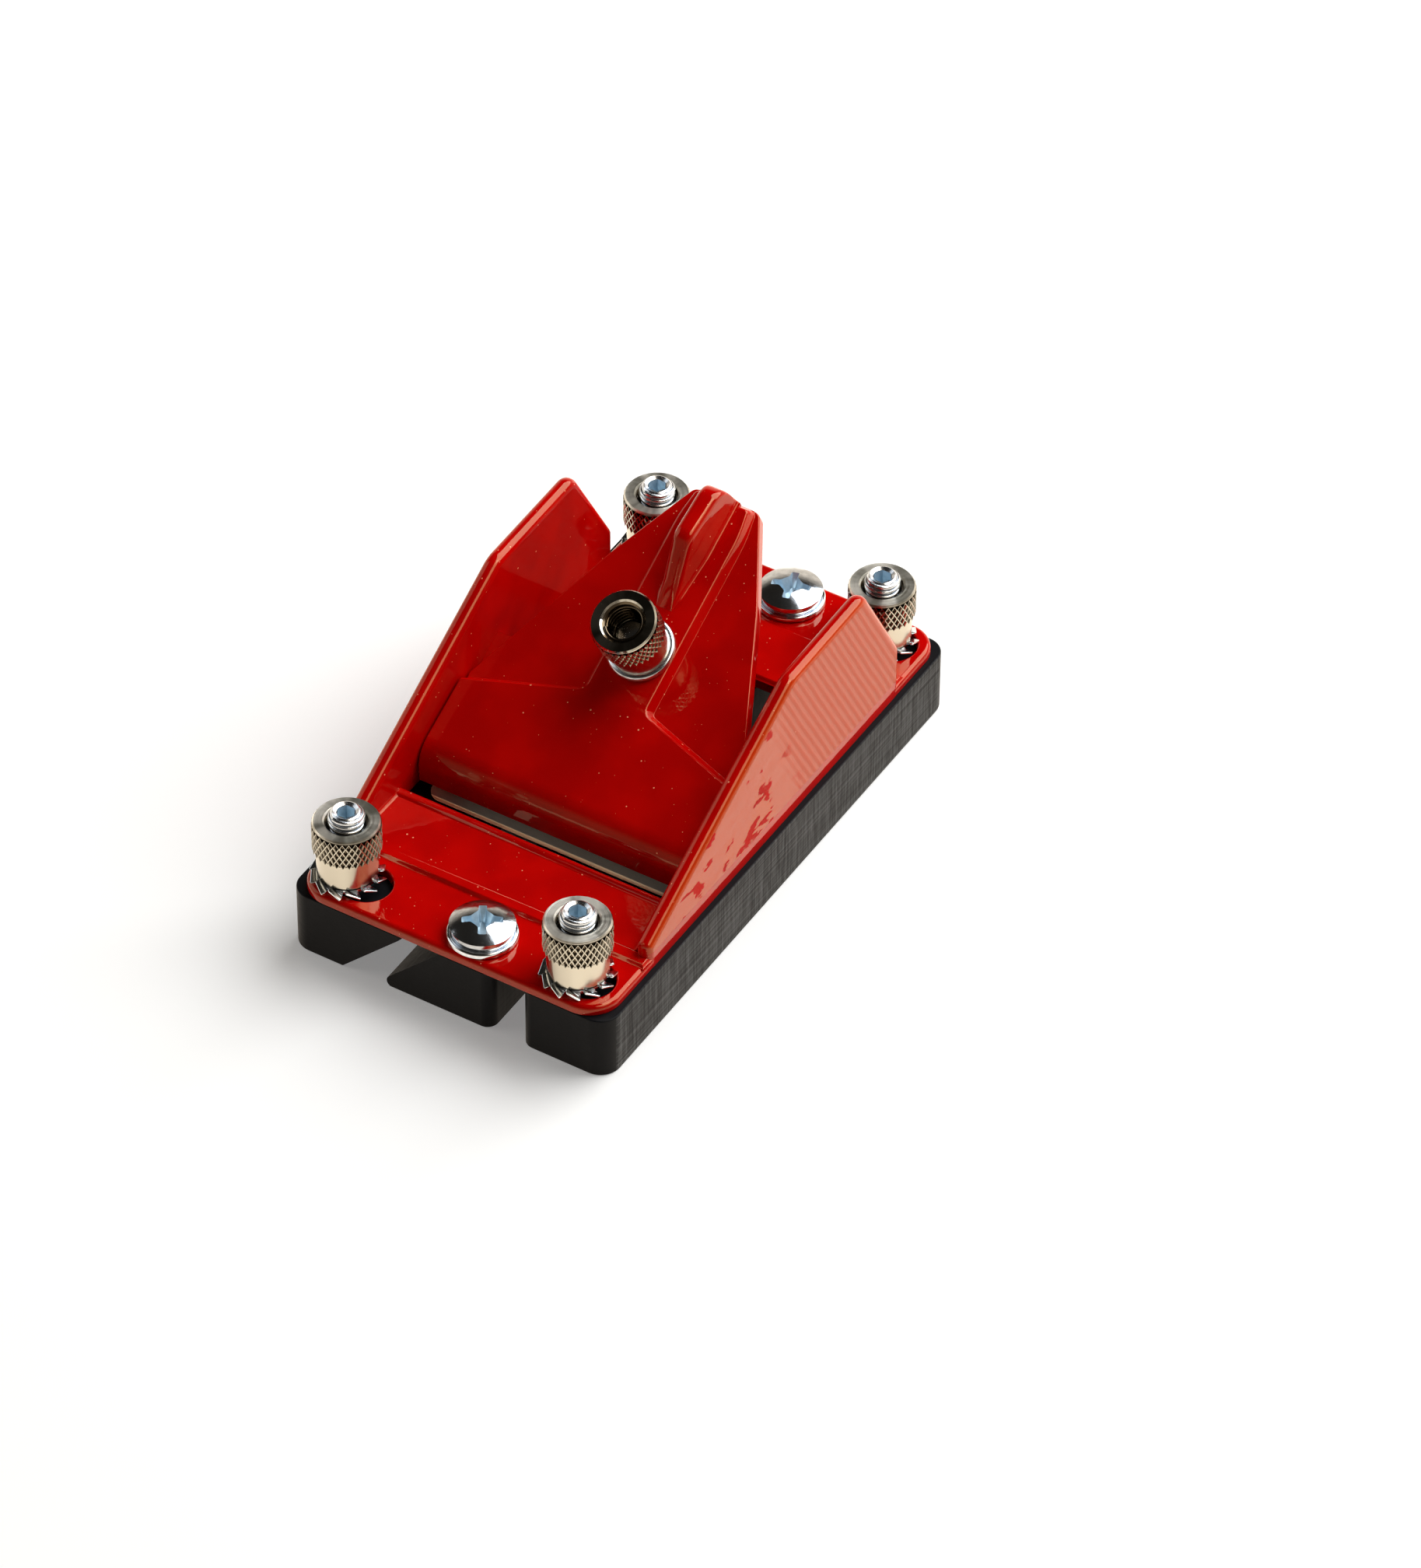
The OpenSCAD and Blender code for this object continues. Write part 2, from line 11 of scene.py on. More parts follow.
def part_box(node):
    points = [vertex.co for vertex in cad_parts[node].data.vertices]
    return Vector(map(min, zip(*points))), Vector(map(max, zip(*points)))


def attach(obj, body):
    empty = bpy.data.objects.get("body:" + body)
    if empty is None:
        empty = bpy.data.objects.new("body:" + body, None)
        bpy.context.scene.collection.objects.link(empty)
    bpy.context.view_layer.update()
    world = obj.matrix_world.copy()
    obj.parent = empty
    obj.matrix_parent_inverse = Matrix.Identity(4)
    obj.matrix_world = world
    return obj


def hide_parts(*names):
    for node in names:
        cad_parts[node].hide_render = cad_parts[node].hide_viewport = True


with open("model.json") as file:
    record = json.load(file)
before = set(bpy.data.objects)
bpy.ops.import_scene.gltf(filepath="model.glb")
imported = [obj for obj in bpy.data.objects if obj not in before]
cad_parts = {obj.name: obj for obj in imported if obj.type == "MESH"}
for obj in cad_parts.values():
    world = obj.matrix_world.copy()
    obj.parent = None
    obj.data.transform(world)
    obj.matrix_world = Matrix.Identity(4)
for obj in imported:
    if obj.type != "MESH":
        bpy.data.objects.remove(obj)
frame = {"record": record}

bl_info = {
    "name": "Chamfering tool",
    "version": (1, 0, 0),
    "blender": (4, 5, 0),
    "location": "View3D > Sidebar > Chamfering tool",
    "description": "Builds the finished look of a small chamfering plane around its packed solids",
    "category": "Object",
}

for start_object in ("Cube", "Light", "Camera"):
    if start_object in bpy.data.objects:
        bpy.data.objects.remove(bpy.data.objects[start_object])

MM = 0.001
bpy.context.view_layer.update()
CORNERS = ("left_front", "left_rear", "right_front", "right_rear")
PHOTO_HEIGHT = 2016
SENSOR = 36.0


def joint(name):
    """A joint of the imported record, by its name."""
    return next(entry for entry in frame["record"]["behaviour"]["joints"] if entry["name"] == name)


# Places read from the frame
PLATE_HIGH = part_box("plane_body")[1]
CENTRE_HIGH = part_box("centre_bar")[1]
LEFT_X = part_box("left_bar")[0][0]
RIGHT_LOW, RIGHT_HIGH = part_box("right_bar")
TAB_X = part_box("blade")[1][0]
CAP_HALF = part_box("lever_cap")[1][0]
NUT_LOW, NUT_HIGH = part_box("left_front_nut")
SCREW_LOW, SCREW_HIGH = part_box("left_front_set_screw")
WASHER_LOW, WASHER_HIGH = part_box("left_front_washer")
PAN_LOW, PAN_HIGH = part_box("front_pan_screw")
BAR_TOP = CENTRE_HIGH[2]
HALF_WIDTH = PLATE_HIGH[0]
HALF_LENGTH = PLATE_HIGH[1]
SEAT_GAP = 0.01 * MM
DECK = WASHER_LOW[2] - SEAT_GAP
LOCK_Z = (WASHER_LOW[2] + WASHER_HIGH[2]) / 2
NUT_LENGTH = NUT_HIGH[2] - NUT_LOW[2]
NUT_RADIUS = (NUT_HIGH[0] - NUT_LOW[0]) / 2
SCREW_LENGTH = SCREW_HIGH[2] - SCREW_LOW[2]
SCREW_RADIUS = (SCREW_HIGH[0] - SCREW_LOW[0]) / 2

# The bed's own directions: up the bed, and off it
OFF_BED = Vector(joint("cap_lift")["axis"]).normalized()
UP_BED = Vector((0, OFF_BED.z, -OFF_BED.y))
STUD_S = 28.1 * MM
SPINE_H = 3.83 * MM
CAP_WASHER_T = 1 * MM
EDGE = Vector(joint("cap_turn")["pos_m"]) - UP_BED * STUD_S
BED = Matrix.Translation(EDGE) @ Matrix((
    (1, 0, 0, 0),
    (0, UP_BED.y, OFF_BED.y, 0),
    (0, UP_BED.z, OFF_BED.z, 0),
    (0, 0, 0, 1),
))
BED_ANGLE = math.atan2(UP_BED.z, UP_BED.y)

# Sizes of the casting that its boxes don't give
PLATE_CORNER = 4.5 * MM
STEP = 0.5 * MM
STEP_Y = 32.2 * MM
MID = DECK + STEP
FIN_Y = 31 * MM
FIN_T = 2.3 * MM
FIN_IN = HALF_WIDTH - FIN_T
FIN_FRONT = 3.8 * MM
FIN_REAR = 8.1 * MM
FIN_FALL = 0.6 * MM
FIN_PEAK_BACK = 9 * MM
FIN_PEAK = PLATE_HIGH[2] - BAR_TOP
FIN_ROUND = 1.05 * MM
MOUTH_Y = 20.6 * MM
REAR_DECK_Y = 22 * MM
BEAD_W = 1.6 * MM
BEAD_H = 0.4 * MM
SLOT_L = 9.8 * MM
SLOT_W = 6.8 * MM
SLOT_X = 16.75 * MM
SLOT_Y = (NUT_LOW[1] + NUT_HIGH[1]) / 2
SLOT_LIP = 0.28 * MM
BED_T = 3 * MM
BED_L = 24 * MM
TONGUE_L = 36 * MM
TONGUE_R = 8 * MM
TOE_HALF = 17.5 * MM
TOE_S = 0.9 * MM
TOE_STRIP = 4.2 * MM
BOSS_R = 5 * MM
BOSS_L = 4 * MM
TAB_GAP = 0.1 * MM
TAB_LOW = 4.7 * MM
TAB_HIGH = 17.3 * MM
COVE = 0.55 * MM
DECK_FLARE = 0.3 * MM
# A lift that keeps faces from lying in one plane before they are joined
LIFT = 0.004 * MM

# Grain of the dust in the enamel, and the share of grains that are bare
DUST = ((1.1 * MM, 0.5), (0.5 * MM, 0.86))
DUST_COLOUR = (0.95, 0.36, 0.20)
# Reach of the enamel's patterns below a face
SKIN = 0.05 * MM
RIB_PITCH = 1.1 * MM

# Sizes of the lever cap, on the bed
TOE = 1.6 * MM
CREST_S = 3.75 * MM
CREST_H = 4.62 * MM
NOSE_R = 4.2 * MM
BLOCK_SIDE_S = 15.7 * MM
BLOCK_MID_S = 20.75 * MM
SPINE_FOOT = 5.06 * MM
SPINE_TOP = 4.4 * MM
SPINE_TAIL = 4.35 * MM
SPINE_BEND_S = 47 * MM
WING_H = 2.35 * MM
WING_S = 17 * MM
WING_FRONT = 5 * MM
WING_BEND_S = 39 * MM
WING_BEND_X = 11.15 * MM
CAP_END_S = 51.3 * MM
CAP_END_X = 4.9 * MM
CAP_ROUND = 0.26 * MM
CAP_FILLET = 0.22 * MM
HOLLOW_X = 12 * MM
HOLLOW_S = 5.5 * MM
HOLLOW_H = 1.3 * MM
GROOVE_S = 33.6 * MM
PLAIN_HOLE_R = 2.65 * MM
# Place along the bed, half width of the foot and half width of the top
RIB_FOOT = (34.3 * MM, 1.1 * MM, 1.1 * MM)
RIB_KINK = (42.6 * MM, 1.9 * MM, 1.42 * MM)
RIB_END = (51.3 * MM, 1.95 * MM, 1.55 * MM)
RIB_FRONT_TOP = (RIB_KINK[0], 10.0 * MM, 2.6 * MM)
RIB_REAR_TOP = (50.9 * MM, 8.72 * MM, 2.8 * MM)
RIB_FLARE = 0.55 * MM
RIB_SHOULDER = 1.0 * MM
RIB_STEP = 0.8 * MM

# Sizes of the guide bars
VEE_X = -10.6 * MM
VEE_GAP = 5.44 * MM
NOSE_EDGE_R = 1 * MM
SLANT_R = 0.05 * MM
BAR_CORNER = 2.9 * MM
BAR_RIM = 0.2 * MM
SLOT_CORNER = 1.6 * MM
RELIEF_X = 22.25 * MM
RELIEF_D = 1 * MM
MOUTH_GAP = 2.3 * MM

# Sizes of the blade
BLADE_T = 0.3 * MM
BLADE_W = 22 * MM
BLADE_EDGE_X = 18.5 * MM
BLADE_STRIP = 4.8 * MM
BLADE_CORNER = 1.5 * MM
BLADE_NOTCH_R = 1 * MM
BLADE_SLOT_X = 13 * MM
BLADE_SLOT_HALF = 2 * MM
BLADE_SLOT_R = 1.9 * MM
BLADE_HOLE_R = 2.8 * MM
BEVEL_W = 0.4 * MM
BEVEL_EDGE = 0.04 * MM

# Sizes of the screws, the nuts and the washers
BORE_R = SCREW_RADIUS + 0.1 * MM
CORE_R = SCREW_RADIUS - 0.38 * MM
THREAD_FLAT = 3 * MM
SOCKET_W = 2.2 * MM
SOCKET_D = 2.4 * MM
SINK_R = 1.25 * MM
SINK_D = 0.28 * MM
STUD_LOW = -7 * MM
STUD_TOP = 8.93 * MM
CAP_WASHER_R = 4.6 * MM
LOCK_R = 3.9 * MM
LOCK_HALF = 0.3 * MM
TEETH = 12
TOOTH_HALF = 1.0 * MM
TOOTH_THICK = 0.14 * MM
TOOTH_TWIST = math.radians(-24)
TOOTH_SPLAY = 0.22
PAN_RIM = 1.95 * MM
PAN_TURNS = {"front_pan_screw": 31, "rear_pan_screw": 16}
# Arm, half width and blend of the cross, at its foot and at its mouth
CROSS_FOOT = (1.5 * MM, 0.36 * MM, 0.35 * MM)
CROSS_MOUTH = (3.05 * MM, 0.56 * MM, 1.1 * MM)
CROSS_OVER = 0.3 * MM
CROSS_D = 2.5 * MM
CROSS_R = 0.2 * MM
ARC_STEPS = 12
# Turns in radians: of the first washer, and from one corner's piece to the next
NUT_TURN = 0.7
LOCK_START = 0.2
LOCK_TURN = 0.9
# Turns of thread on the set screws, on the stud and in the cap's nut, and its depth on a screw
SCREW_TURNS = 3.3
STUD_TURNS = 5.2
BORE_TURNS = 9.4
SCREW_THREAD = 0.9


def tint(name, description, default):
    """A setting that is a colour."""
    return FloatVectorProperty(
        name=name, description=description, default=default, subtype="COLOR", size=3, min=0, max=1)


def measure(name, description, default, least=0):
    """A setting that is a length, in metres."""
    return FloatProperty(name=name, description=description, default=default, min=least, subtype="DISTANCE")


def angle(name, description, degrees):
    """A setting that is an angle."""
    return FloatProperty(name=name, description=description, default=math.radians(degrees), subtype="ANGLE")


def power(name, description, default):
    """A setting that is a lamp's power."""
    return FloatProperty(name=name, description=description, default=default, subtype="POWER")


class EnamelSettings(bpy.types.PropertyGroup):
    colour: tint("Colour", "Red of the enamel", (0.52, 0.001, 0.0005))
    shade: tint("Deep colour", "Red where the enamel lies thicker", (0.44, 0.0005, 0.0005))
    # Orange on the fins' outer faces: a painted reflection of the warm floor.
    painted_fin_sheen: tint("Thin colour", "Red on the fins' outer faces", (0.51, 0.036, 0.001))
    roughness: FloatProperty(
        name="Roughness", description="Roughness of the gloss", default=0.04, min=0, max=1, subtype="FACTOR")
    peel: measure("Peel", "Height of the slight waves in the gloss", 0.012 * MM)
    edge: measure("Edge radius", "Radius of the casting's outer edges", 0.75 * MM)


class MetalSettings(bpy.types.PropertyGroup):
    nickel: tint("Nickel", "Colour of the nuts' plating", (0.58, 0.55, 0.465))
    zinc: tint("Zinc", "Colour of the screws' plating", (0.74, 0.79, 0.85))
    blue_zinc: tint("Blue zinc", "Colour of the plating in the recesses", (0.58, 0.74, 0.85))
    # Kept dark: painted shade for the shadow that the cap's nose casts on the blade.
    shaded_steel: tint("Steel", "Colour of the blade", (0.24, 0.22, 0.185))
    black: tint("Black", "Colour of the guide bars", (0.0055, 0.006, 0.0075))
    worn: tint("Worn black", "Colour of the bars' sawn sides", (0.115, 0.115, 0.113))


class KnurlSettings(bpy.types.PropertyGroup):
    around: IntProperty(name="Around", description="Pits round a nut", default=34, min=8)
    rows: IntProperty(name="Rows", description="Rows of pits along a nut", default=5, min=1)
    length: measure("Length", "Length of the knurl", 4.6 * MM, MM)
    depth: measure("Depth", "Depth of a pit", 0.28 * MM)


class ThreadSettings(bpy.types.PropertyGroup):
    pitch: measure("Pitch", "Pitch of the threads", 0.8 * MM, 0.1 * MM)
    depth: measure("Depth", "Depth of the threads", 0.42 * MM)


class StageSettings(bpy.types.PropertyGroup):
    azimuth: angle("Azimuth", "Turn of the camera round the tool", 31.157)
    elevation: angle("Elevation", "Rise of the camera", 42.585)
    roll: angle("Roll", "Lean of the camera", 0.462)
    distance: measure("Distance", "Camera to its aim", 1066.126 * MM)
    aim: FloatVectorProperty(
        name="Aim", description="Point in the middle of the picture", size=3,
        default=(12.859 * MM, 0.54 * MM, 12 * MM), subtype="XYZ")
    focal_pixels: FloatProperty(
        name="Focal length", description="Focal length in pixels of the photograph", default=10624.9,
        subtype="PIXEL")
    key: power("Key", "Power of the large soft lamp", 24)
    fill: power("Fill", "Power of the soft lamp opposite", 1.2)
    panel: FloatProperty(
        name="Panel", description="Strength of the panel that edges reflect", default=4.5, min=0)


def settings(name):
    """One group of the settings that the panel shows."""
    return getattr(bpy.context.scene, "chamfer_" + name)


def sign(operation, swapped=False):
    """A method that puts a Math node behind one of Python's signs."""
    def method(self, other):
        pair = (other, self) if swapped else (self, other)
        return self.graph.add("ShaderNodeMath", *pair, options={"operation": operation})
    return method


class Wire:
    """One socket of a node tree, on which the usual signs add Math nodes."""
    __add__ = __radd__ = sign("ADD")
    __mul__ = __rmul__ = sign("MULTIPLY")
    __sub__ = sign("SUBTRACT")
    __rsub__ = sign("SUBTRACT", True)
    __truediv__ = sign("DIVIDE")
    __mod__ = sign("FLOORED_MODULO")
    __gt__ = sign("GREATER_THAN")
    __lt__ = sign("LESS_THAN")

    def __init__(self, graph, socket):
        self.graph = graph
        self.socket = socket

    def __getitem__(self, name):
        return Wire(self.graph, self.socket.node.outputs[name])

    def math(self, operation, *others):
        return self.graph.add("ShaderNodeMath", self, *others, options={"operation": operation})

    def ramp(self, low, high):
        """0 below low, 1 above high and smooth between."""
        return self.graph.add(
            "ShaderNodeMapRange", self, low, high, 0.0, 1.0, options={"interpolation_type": "SMOOTHSTEP"})


class Graph:
    """Adds nodes to a tree, of either kind."""

    def __init__(self, tree):
        self.tree = tree

    def feed(self, socket, value):
        if isinstance(value, Wire):
            self.tree.links.new(value.socket, socket)
        else:
            socket.default_value = value

    def add(self, kind, *values, options=None, **named):
        """A new node, its sockets fed in order or by name. Gives its first output."""
        node = self.tree.nodes.new(kind)
        for name, value in (options or {}).items():
            setattr(node, name, value)
        shown = [socket for socket in node.inputs if socket.enabled]
        for socket, value in zip(shown, values):
            self.feed(socket, value)
        for name, value in named.items():
            wanted = name.replace("_", " ").lower()
            self.feed(next(socket for socket in shown if socket.name.lower() == wanted), value)
        return Wire(self, next(socket for socket in node.outputs if socket.enabled))

    def blend(self, factor, first, second):
        """first where factor is 0, second where it is 1, as colours."""
        values = [
            value if isinstance(value, (Wire, int, float)) else tuple(value) + (1.0,)
            for value in (factor, first, second)]
        return self.add("ShaderNodeMix", *values, options={"data_type": "RGBA"})

    def vector(self, x, y, z):
        """A vector from its three parts."""
        return self.add("ShaderNodeCombineXYZ", x, y, z)

    def parts(self, vector):
        """The three parts of a vector."""
        split = self.add("ShaderNodeSeparateXYZ", vector)
        return split["X"], split["Y"], split["Z"]


class Paint(Graph):
    """A material with a Principled shader, whose patterns read Object coordinates."""

    def __init__(self, name, **constants):
        self.material = bpy.data.materials.new(name)
        self.material.use_nodes = True
        super().__init__(self.material.node_tree)
        self.shader = next(node for node in self.tree.nodes if node.type == "BSDF_PRINCIPLED")
        for name, value in constants.items():
            self.set(name, value)
        self.here = self.add("ShaderNodeTexCoord")["Object"]

    def set(self, name, value):
        """Feeds a socket of the shader. Low lines in its name stand for spaces."""
        if isinstance(value, tuple):
            value += (1.0,)
        self.feed(self.shader.inputs[name.replace("_", " ").title().replace("Ior", "IOR")], value)

    def mix_in(self, factor, **constants):
        """Mixes in a second shader of the same colour and normal by factor."""
        first = self.shader
        self.shader = self.add("ShaderNodeBsdfPrincipled").socket.node
        for name in ("Base Color", "Normal"):
            self.tree.links.new(first.inputs[name].links[0].from_socket, self.shader.inputs[name])
        for name, value in constants.items():
            self.set(name, value)
        both = self.add("ShaderNodeMixShader", factor)
        for shader, socket in zip((first, self.shader), both.socket.node.inputs[1:]):
            self.tree.links.new(shader.outputs[0], socket)
        target = next(node for node in self.tree.nodes if node.type == "OUTPUT_MATERIAL")
        self.tree.links.new(both.socket, target.inputs["Surface"])

    def placed(self, location=(0, 0, 0), rotation=(0, 0, 0), scale=(1, 1, 1)):
        """Object coordinates taken from another place, turned and stretched."""
        return self.add(
            "ShaderNodeMapping", self.here, location, rotation, scale, options={"vector_type": "TEXTURE"})

    def axes(self):
        """The three parts of the Object coordinates."""
        return self.parts(self.here)

    def noise(self, size, vector=None, detail=2.0, roughness=0.5):
        """Noise of about that grain size, in metres."""
        return self.add(
            "ShaderNodeTexNoise", Vector=vector or self.here, Scale=1 / size, Detail=detail,
            Roughness=roughness)

    def stretched(self, size, scale, detail, roughness=0.5):
        """Noise stretched along some of the axes."""
        return self.noise(size, self.placed(scale=scale), detail, roughness)

    def cells(self, size):
        """Distance to the nearest of scattered points, in grains of that size."""
        return self.add("ShaderNodeTexVoronoi", Vector=self.here, Scale=1 / size, options={"feature": "F1"})

    def finish(self, colour, height, distance, roughness=None):
        """Feeds the shader and gives the material. A height of 1 raises it by distance, in metres."""
        self.set("Base Color", colour)
        if roughness is not None:
            self.set("Roughness", roughness)
        self.set("Normal", self.add("ShaderNodeBump", Strength=1.0, Distance=distance, Height=height))
        return self.material


def oblong(low, high, near=0, far=None):
    """Corners of a rectangle, with one radius at its low side and one at its high side."""
    far = near if far is None else far
    return [(low[0], low[1], near), (high[0], low[1], near), (high[0], high[1], far), (low[0], high[1], far)]


def mirrored(right):
    """Corners of an even shape, from those of its right half. It starts at the last one on the left."""
    left = [(-u, v, radius) for u, v, radius in reversed(right)]
    return left[-1:] + right + left[:-1]


def disc(u, v, radius):
    """Corners of a circle."""
    return oblong((u - radius, v - radius), (u + radius, v + radius), radius * 0.9999)


def rounded(corners, steps=8):
    """An outline through (u, v, radius) corners, each one rounded by an arc."""
    outline = []
    for index, (u, v, radius) in enumerate(corners):
        corner = Vector((u, v))
        if not radius:
            outline.append(corner)
            continue
        before = (Vector(corners[index - 1][:2]) - corner).normalized()
        after = (Vector(corners[(index + 1) % len(corners)][:2]) - corner).normalized()
        half = before.angle(after) / 2
        centre = corner + (before + after).normalized() * radius / math.sin(half)
        start = corner + before * radius / math.tan(half) - centre
        turn = math.copysign(math.pi - 2 * half, before.y * after.x - before.x * after.y)
        for step in range(steps + 1):
            angle = turn * step / steps
            outline.append(centre + Vector((
                start.x * math.cos(angle) - start.y * math.sin(angle),
                start.x * math.sin(angle) + start.y * math.cos(angle),
            )))
    return outline


def circle(radius, steps, v=0):
    """Points round a circle, whose middle may lie off in v."""
    angles = [math.tau * step / steps for step in range(steps)]
    return [(radius * math.cos(angle), v + radius * math.sin(angle)) for angle in angles]


def quarter(parts, first=0):
    """Pairs of 1 - sin and 1 - cos along a quarter turn."""
    angles = [math.pi / 2 * part / parts for part in range(first, parts + 1)]
    return [(1 - math.sin(angle), 1 - math.cos(angle)) for angle in angles]


def plan(u, v, w):
    """Across, along, up."""
    return Vector((u, v, w))


def side(u, v, w):
    """A side view: along, up, and across."""
    return Vector((w, u, v))


def end(u, v, w):
    """An end view: across, up, and along."""
    return Vector((u, w, v))


def bed_plan(u, v, w):
    """Across, up the bed, off the bed."""
    return BED @ Vector((u, v, w))


def bed_side(u, v, w):
    """Up the bed, off the bed, and across."""
    return BED @ Vector((w, u, v))


def add_piece(name, bm, material=None):
    """A mesh object from a bmesh, its faces turned outwards."""
    bmesh.ops.recalc_face_normals(bm, faces=bm.faces)
    return link_mesh(name, bm, material)


def link_mesh(name, bm, material=None):
    """A mesh object from a bmesh as it is."""
    mesh = bpy.data.meshes.new(name)
    bm.to_mesh(mesh)
    bm.free()
    piece = bpy.data.objects.new(name, mesh)
    bpy.context.scene.collection.objects.link(piece)
    if material:
        mesh.materials.append(material)
    return piece


def bridge(bm, rings, ends=(0, -1)):
    """Faces between rings of as many points, and over the named ends."""
    for index in ends:
        bm.faces.new(rings[index])
    for ring, above in zip(rings, rings[1:]):
        for index in range(len(ring)):
            after = (index + 1) % len(ring)
            bm.faces.new((ring[index], ring[after], above[after], above[index]))


def prism(name, place, low_outline, low, high, high_outline=None):
    """A closed solid between an outline at low and the same or a like outline at high."""
    bm = bmesh.new()
    bridge(bm, [
        [bm.verts.new(place(u, v, height)) for u, v in outline]
        for outline, height in ((low_outline, low), (high_outline or low_outline, high))])
    return add_piece(name, bm)


def inset(corners, depth):
    """The same corners moved inwards by a depth, or outwards where it is negative."""
    area = sum(
        corners[index - 1][0] * corners[index][1] - corners[index][0] * corners[index - 1][1]
        for index in range(len(corners)))
    side_of = math.copysign(1, area)
    moved = []
    for index, (u, v, radius) in enumerate(corners):
        before = Vector((u, v)) - Vector(corners[index - 1][:2])
        after = Vector(corners[(index + 1) % len(corners)][:2]) - Vector((u, v))
        before.normalize()
        after.normalize()
        first = Vector((-before.y, before.x)) * side_of
        second = Vector((-after.y, after.x)) * side_of
        step = (first + second) * depth / (1 + first.dot(second))
        outer = (before.x * after.y - before.y * after.x) * side_of > 0
        if radius:
            radius = max(radius - depth if outer else radius + depth, 0.004 * MM)
        moved.append((u + step.x, v + step.y, radius))
    return moved


def stack(name, place, corners, levels, steps=8):
    """A closed solid through copies of one outline, each level given as (inset, height)."""
    bm = bmesh.new()
    bridge(bm, [
        [bm.verts.new(place(u, v, height)) for u, v in rounded(inset(corners, depth), steps)]
        for depth, height in levels])
    bmesh.ops.remove_doubles(bm, verts=bm.verts, dist=0.0005 * MM)
    return add_piece(name, bm)


def solid(name, place, corners, low, high, low_r=0, high_r=0, steps=8):
    """A prism through rounded corners, with rounded rims."""
    arc = quarter(5)
    levels = [(low_r * a, low + low_r * b) for a, b in (arc if low_r else arc[:1])]
    levels += [(high_r * b, high - high_r * a) for a, b in (arc if high_r else arc[:1])]
    return stack(name, place, corners, levels, steps)


def block(name, low, high):
    """A cutter between two corners."""
    return prism(name, plan, rounded(oblong(low, high)), low[2], high[2])


def lathe(name, profile, steps=64, material=None):
    """A solid turned about Z from a closed (radius, height) outline."""
    bm = bmesh.new()
    rings = [
        [bm.verts.new((x, y, height)) for x, y in (circle(radius, steps) if radius else [(0, 0)])]
        for radius, height in profile]
    for index, ring in enumerate(rings):
        other = rings[(index + 1) % len(rings)]
        if len(ring) == 1 and len(other) == 1:
            continue
        for step in range(steps):
            after = (step + 1) % steps
            corners = [ring[step % len(ring)], ring[after % len(ring)], other[after % len(other)],
                       other[step % len(other)]]
            bm.faces.new(list(dict.fromkeys(corners)))
    return add_piece(name, bm, material)


def bake(piece):
    """Turns a piece and its modifiers into a plain mesh."""
    graph = bpy.context.evaluated_depsgraph_get()
    mesh = bpy.data.meshes.new_from_object(
        piece.evaluated_get(graph), preserve_all_data_layers=True, depsgraph=graph)
    piece.modifiers.clear()
    old = piece.data
    piece.data = mesh
    bpy.data.meshes.remove(old)


def combine(piece, tools, operation):
    """Joins tools to a piece, cuts them from it, or keeps what is common, and uses them up."""
    for tool in tools:
        change = piece.modifiers.new(operation, "BOOLEAN")
        change.solver = "EXACT"
        change.material_mode = "TRANSFER"
        change.operation = operation
        change.object = tool
        bake(piece)
        bpy.data.objects.remove(tool)
    return piece


@contextmanager
def editing(piece):
    """A bmesh of a piece, written back at the end."""
    bm = bmesh.new()
    bm.from_mesh(piece.data)
    yield bm
    bm.to_mesh(piece.data)
    bm.free()


def tidy(piece):
    """Merges what cuts leave: doubled points and edges inside flat faces."""
    with editing(piece) as bm:
        bmesh.ops.remove_doubles(bm, verts=bm.verts, dist=0.002 * MM)
        bmesh.ops.dissolve_limit(bm, angle_limit=math.radians(0.5), verts=bm.verts, edges=bm.edges)


def soften(piece, radius_at, widest, steps=4, least=22):
    """Rounds edges sharper than least degrees. radius_at(middle, inner) gives each one's radius."""
    with editing(piece) as bm:
        weights = bm.edges.layers.float.new("bevel_weight_edge")
        for edge in bm.edges:
            if len(edge.link_faces) == 2 and edge.calc_face_angle(0) > math.radians(least):
                middle = (edge.verts[0].co + edge.verts[1].co) / 2
                edge[weights] = radius_at(middle, not edge.is_convex) / widest
    bevel = piece.modifiers.new("edges", "BEVEL")
    bevel.limit_method = "WEIGHT"
    bevel.width = widest
    bevel.segments = steps
    bevel.use_clamp_overlap = False
    bevel.miter_outer = "MITER_ARC"
    finish_normals(piece)


def finish_normals(piece):
    """Smooth shading that keeps large faces flat, then a plain mesh."""
    for face in piece.data.polygons:
        face.use_smooth = True
    weighted = piece.modifiers.new("normals", "WEIGHTED_NORMAL")
    weighted.mode = "FACE_AREA"
    weighted.weight = 95
    weighted.keep_sharp = True
    bake(piece)


def smooth(piece, degrees):
    """Smooth shading with edges sharper than that kept."""
    for face in piece.data.polygons:
        face.use_smooth = True
    piece.data.set_sharp_from_angle(angle=math.radians(degrees))


def crisp(piece):
    """Merges what cuts leave, shades large faces flat and keeps the creases sharp."""
    with editing(piece) as bm:
        bmesh.ops.remove_doubles(bm, verts=bm.verts, dist=0.001 * MM)
        bmesh.ops.dissolve_degenerate(bm, dist=0.001 * MM, edges=bm.edges)
    smooth(piece, 28)
    finish_normals(piece)


def dress(piece, node, body, material=None):
    """Puts a finished piece in a CAD node's place."""
    if material:
        piece.data.materials.clear()
        piece.data.materials.append(material)
    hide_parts(node)
    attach(piece, body)


def shift(piece, matrix):
    """Moves a mesh to its place, with the object left at the origin."""
    piece.data.transform(matrix)
    piece.data.update()


def middle(box, height=None):
    """The move from the origin to the middle of a box, at its foot or at a height."""
    low, high = box
    return Matrix.Translation((
        (low[0] + high[0]) / 2, (low[1] + high[1]) / 2, low[2] if height is None else height))


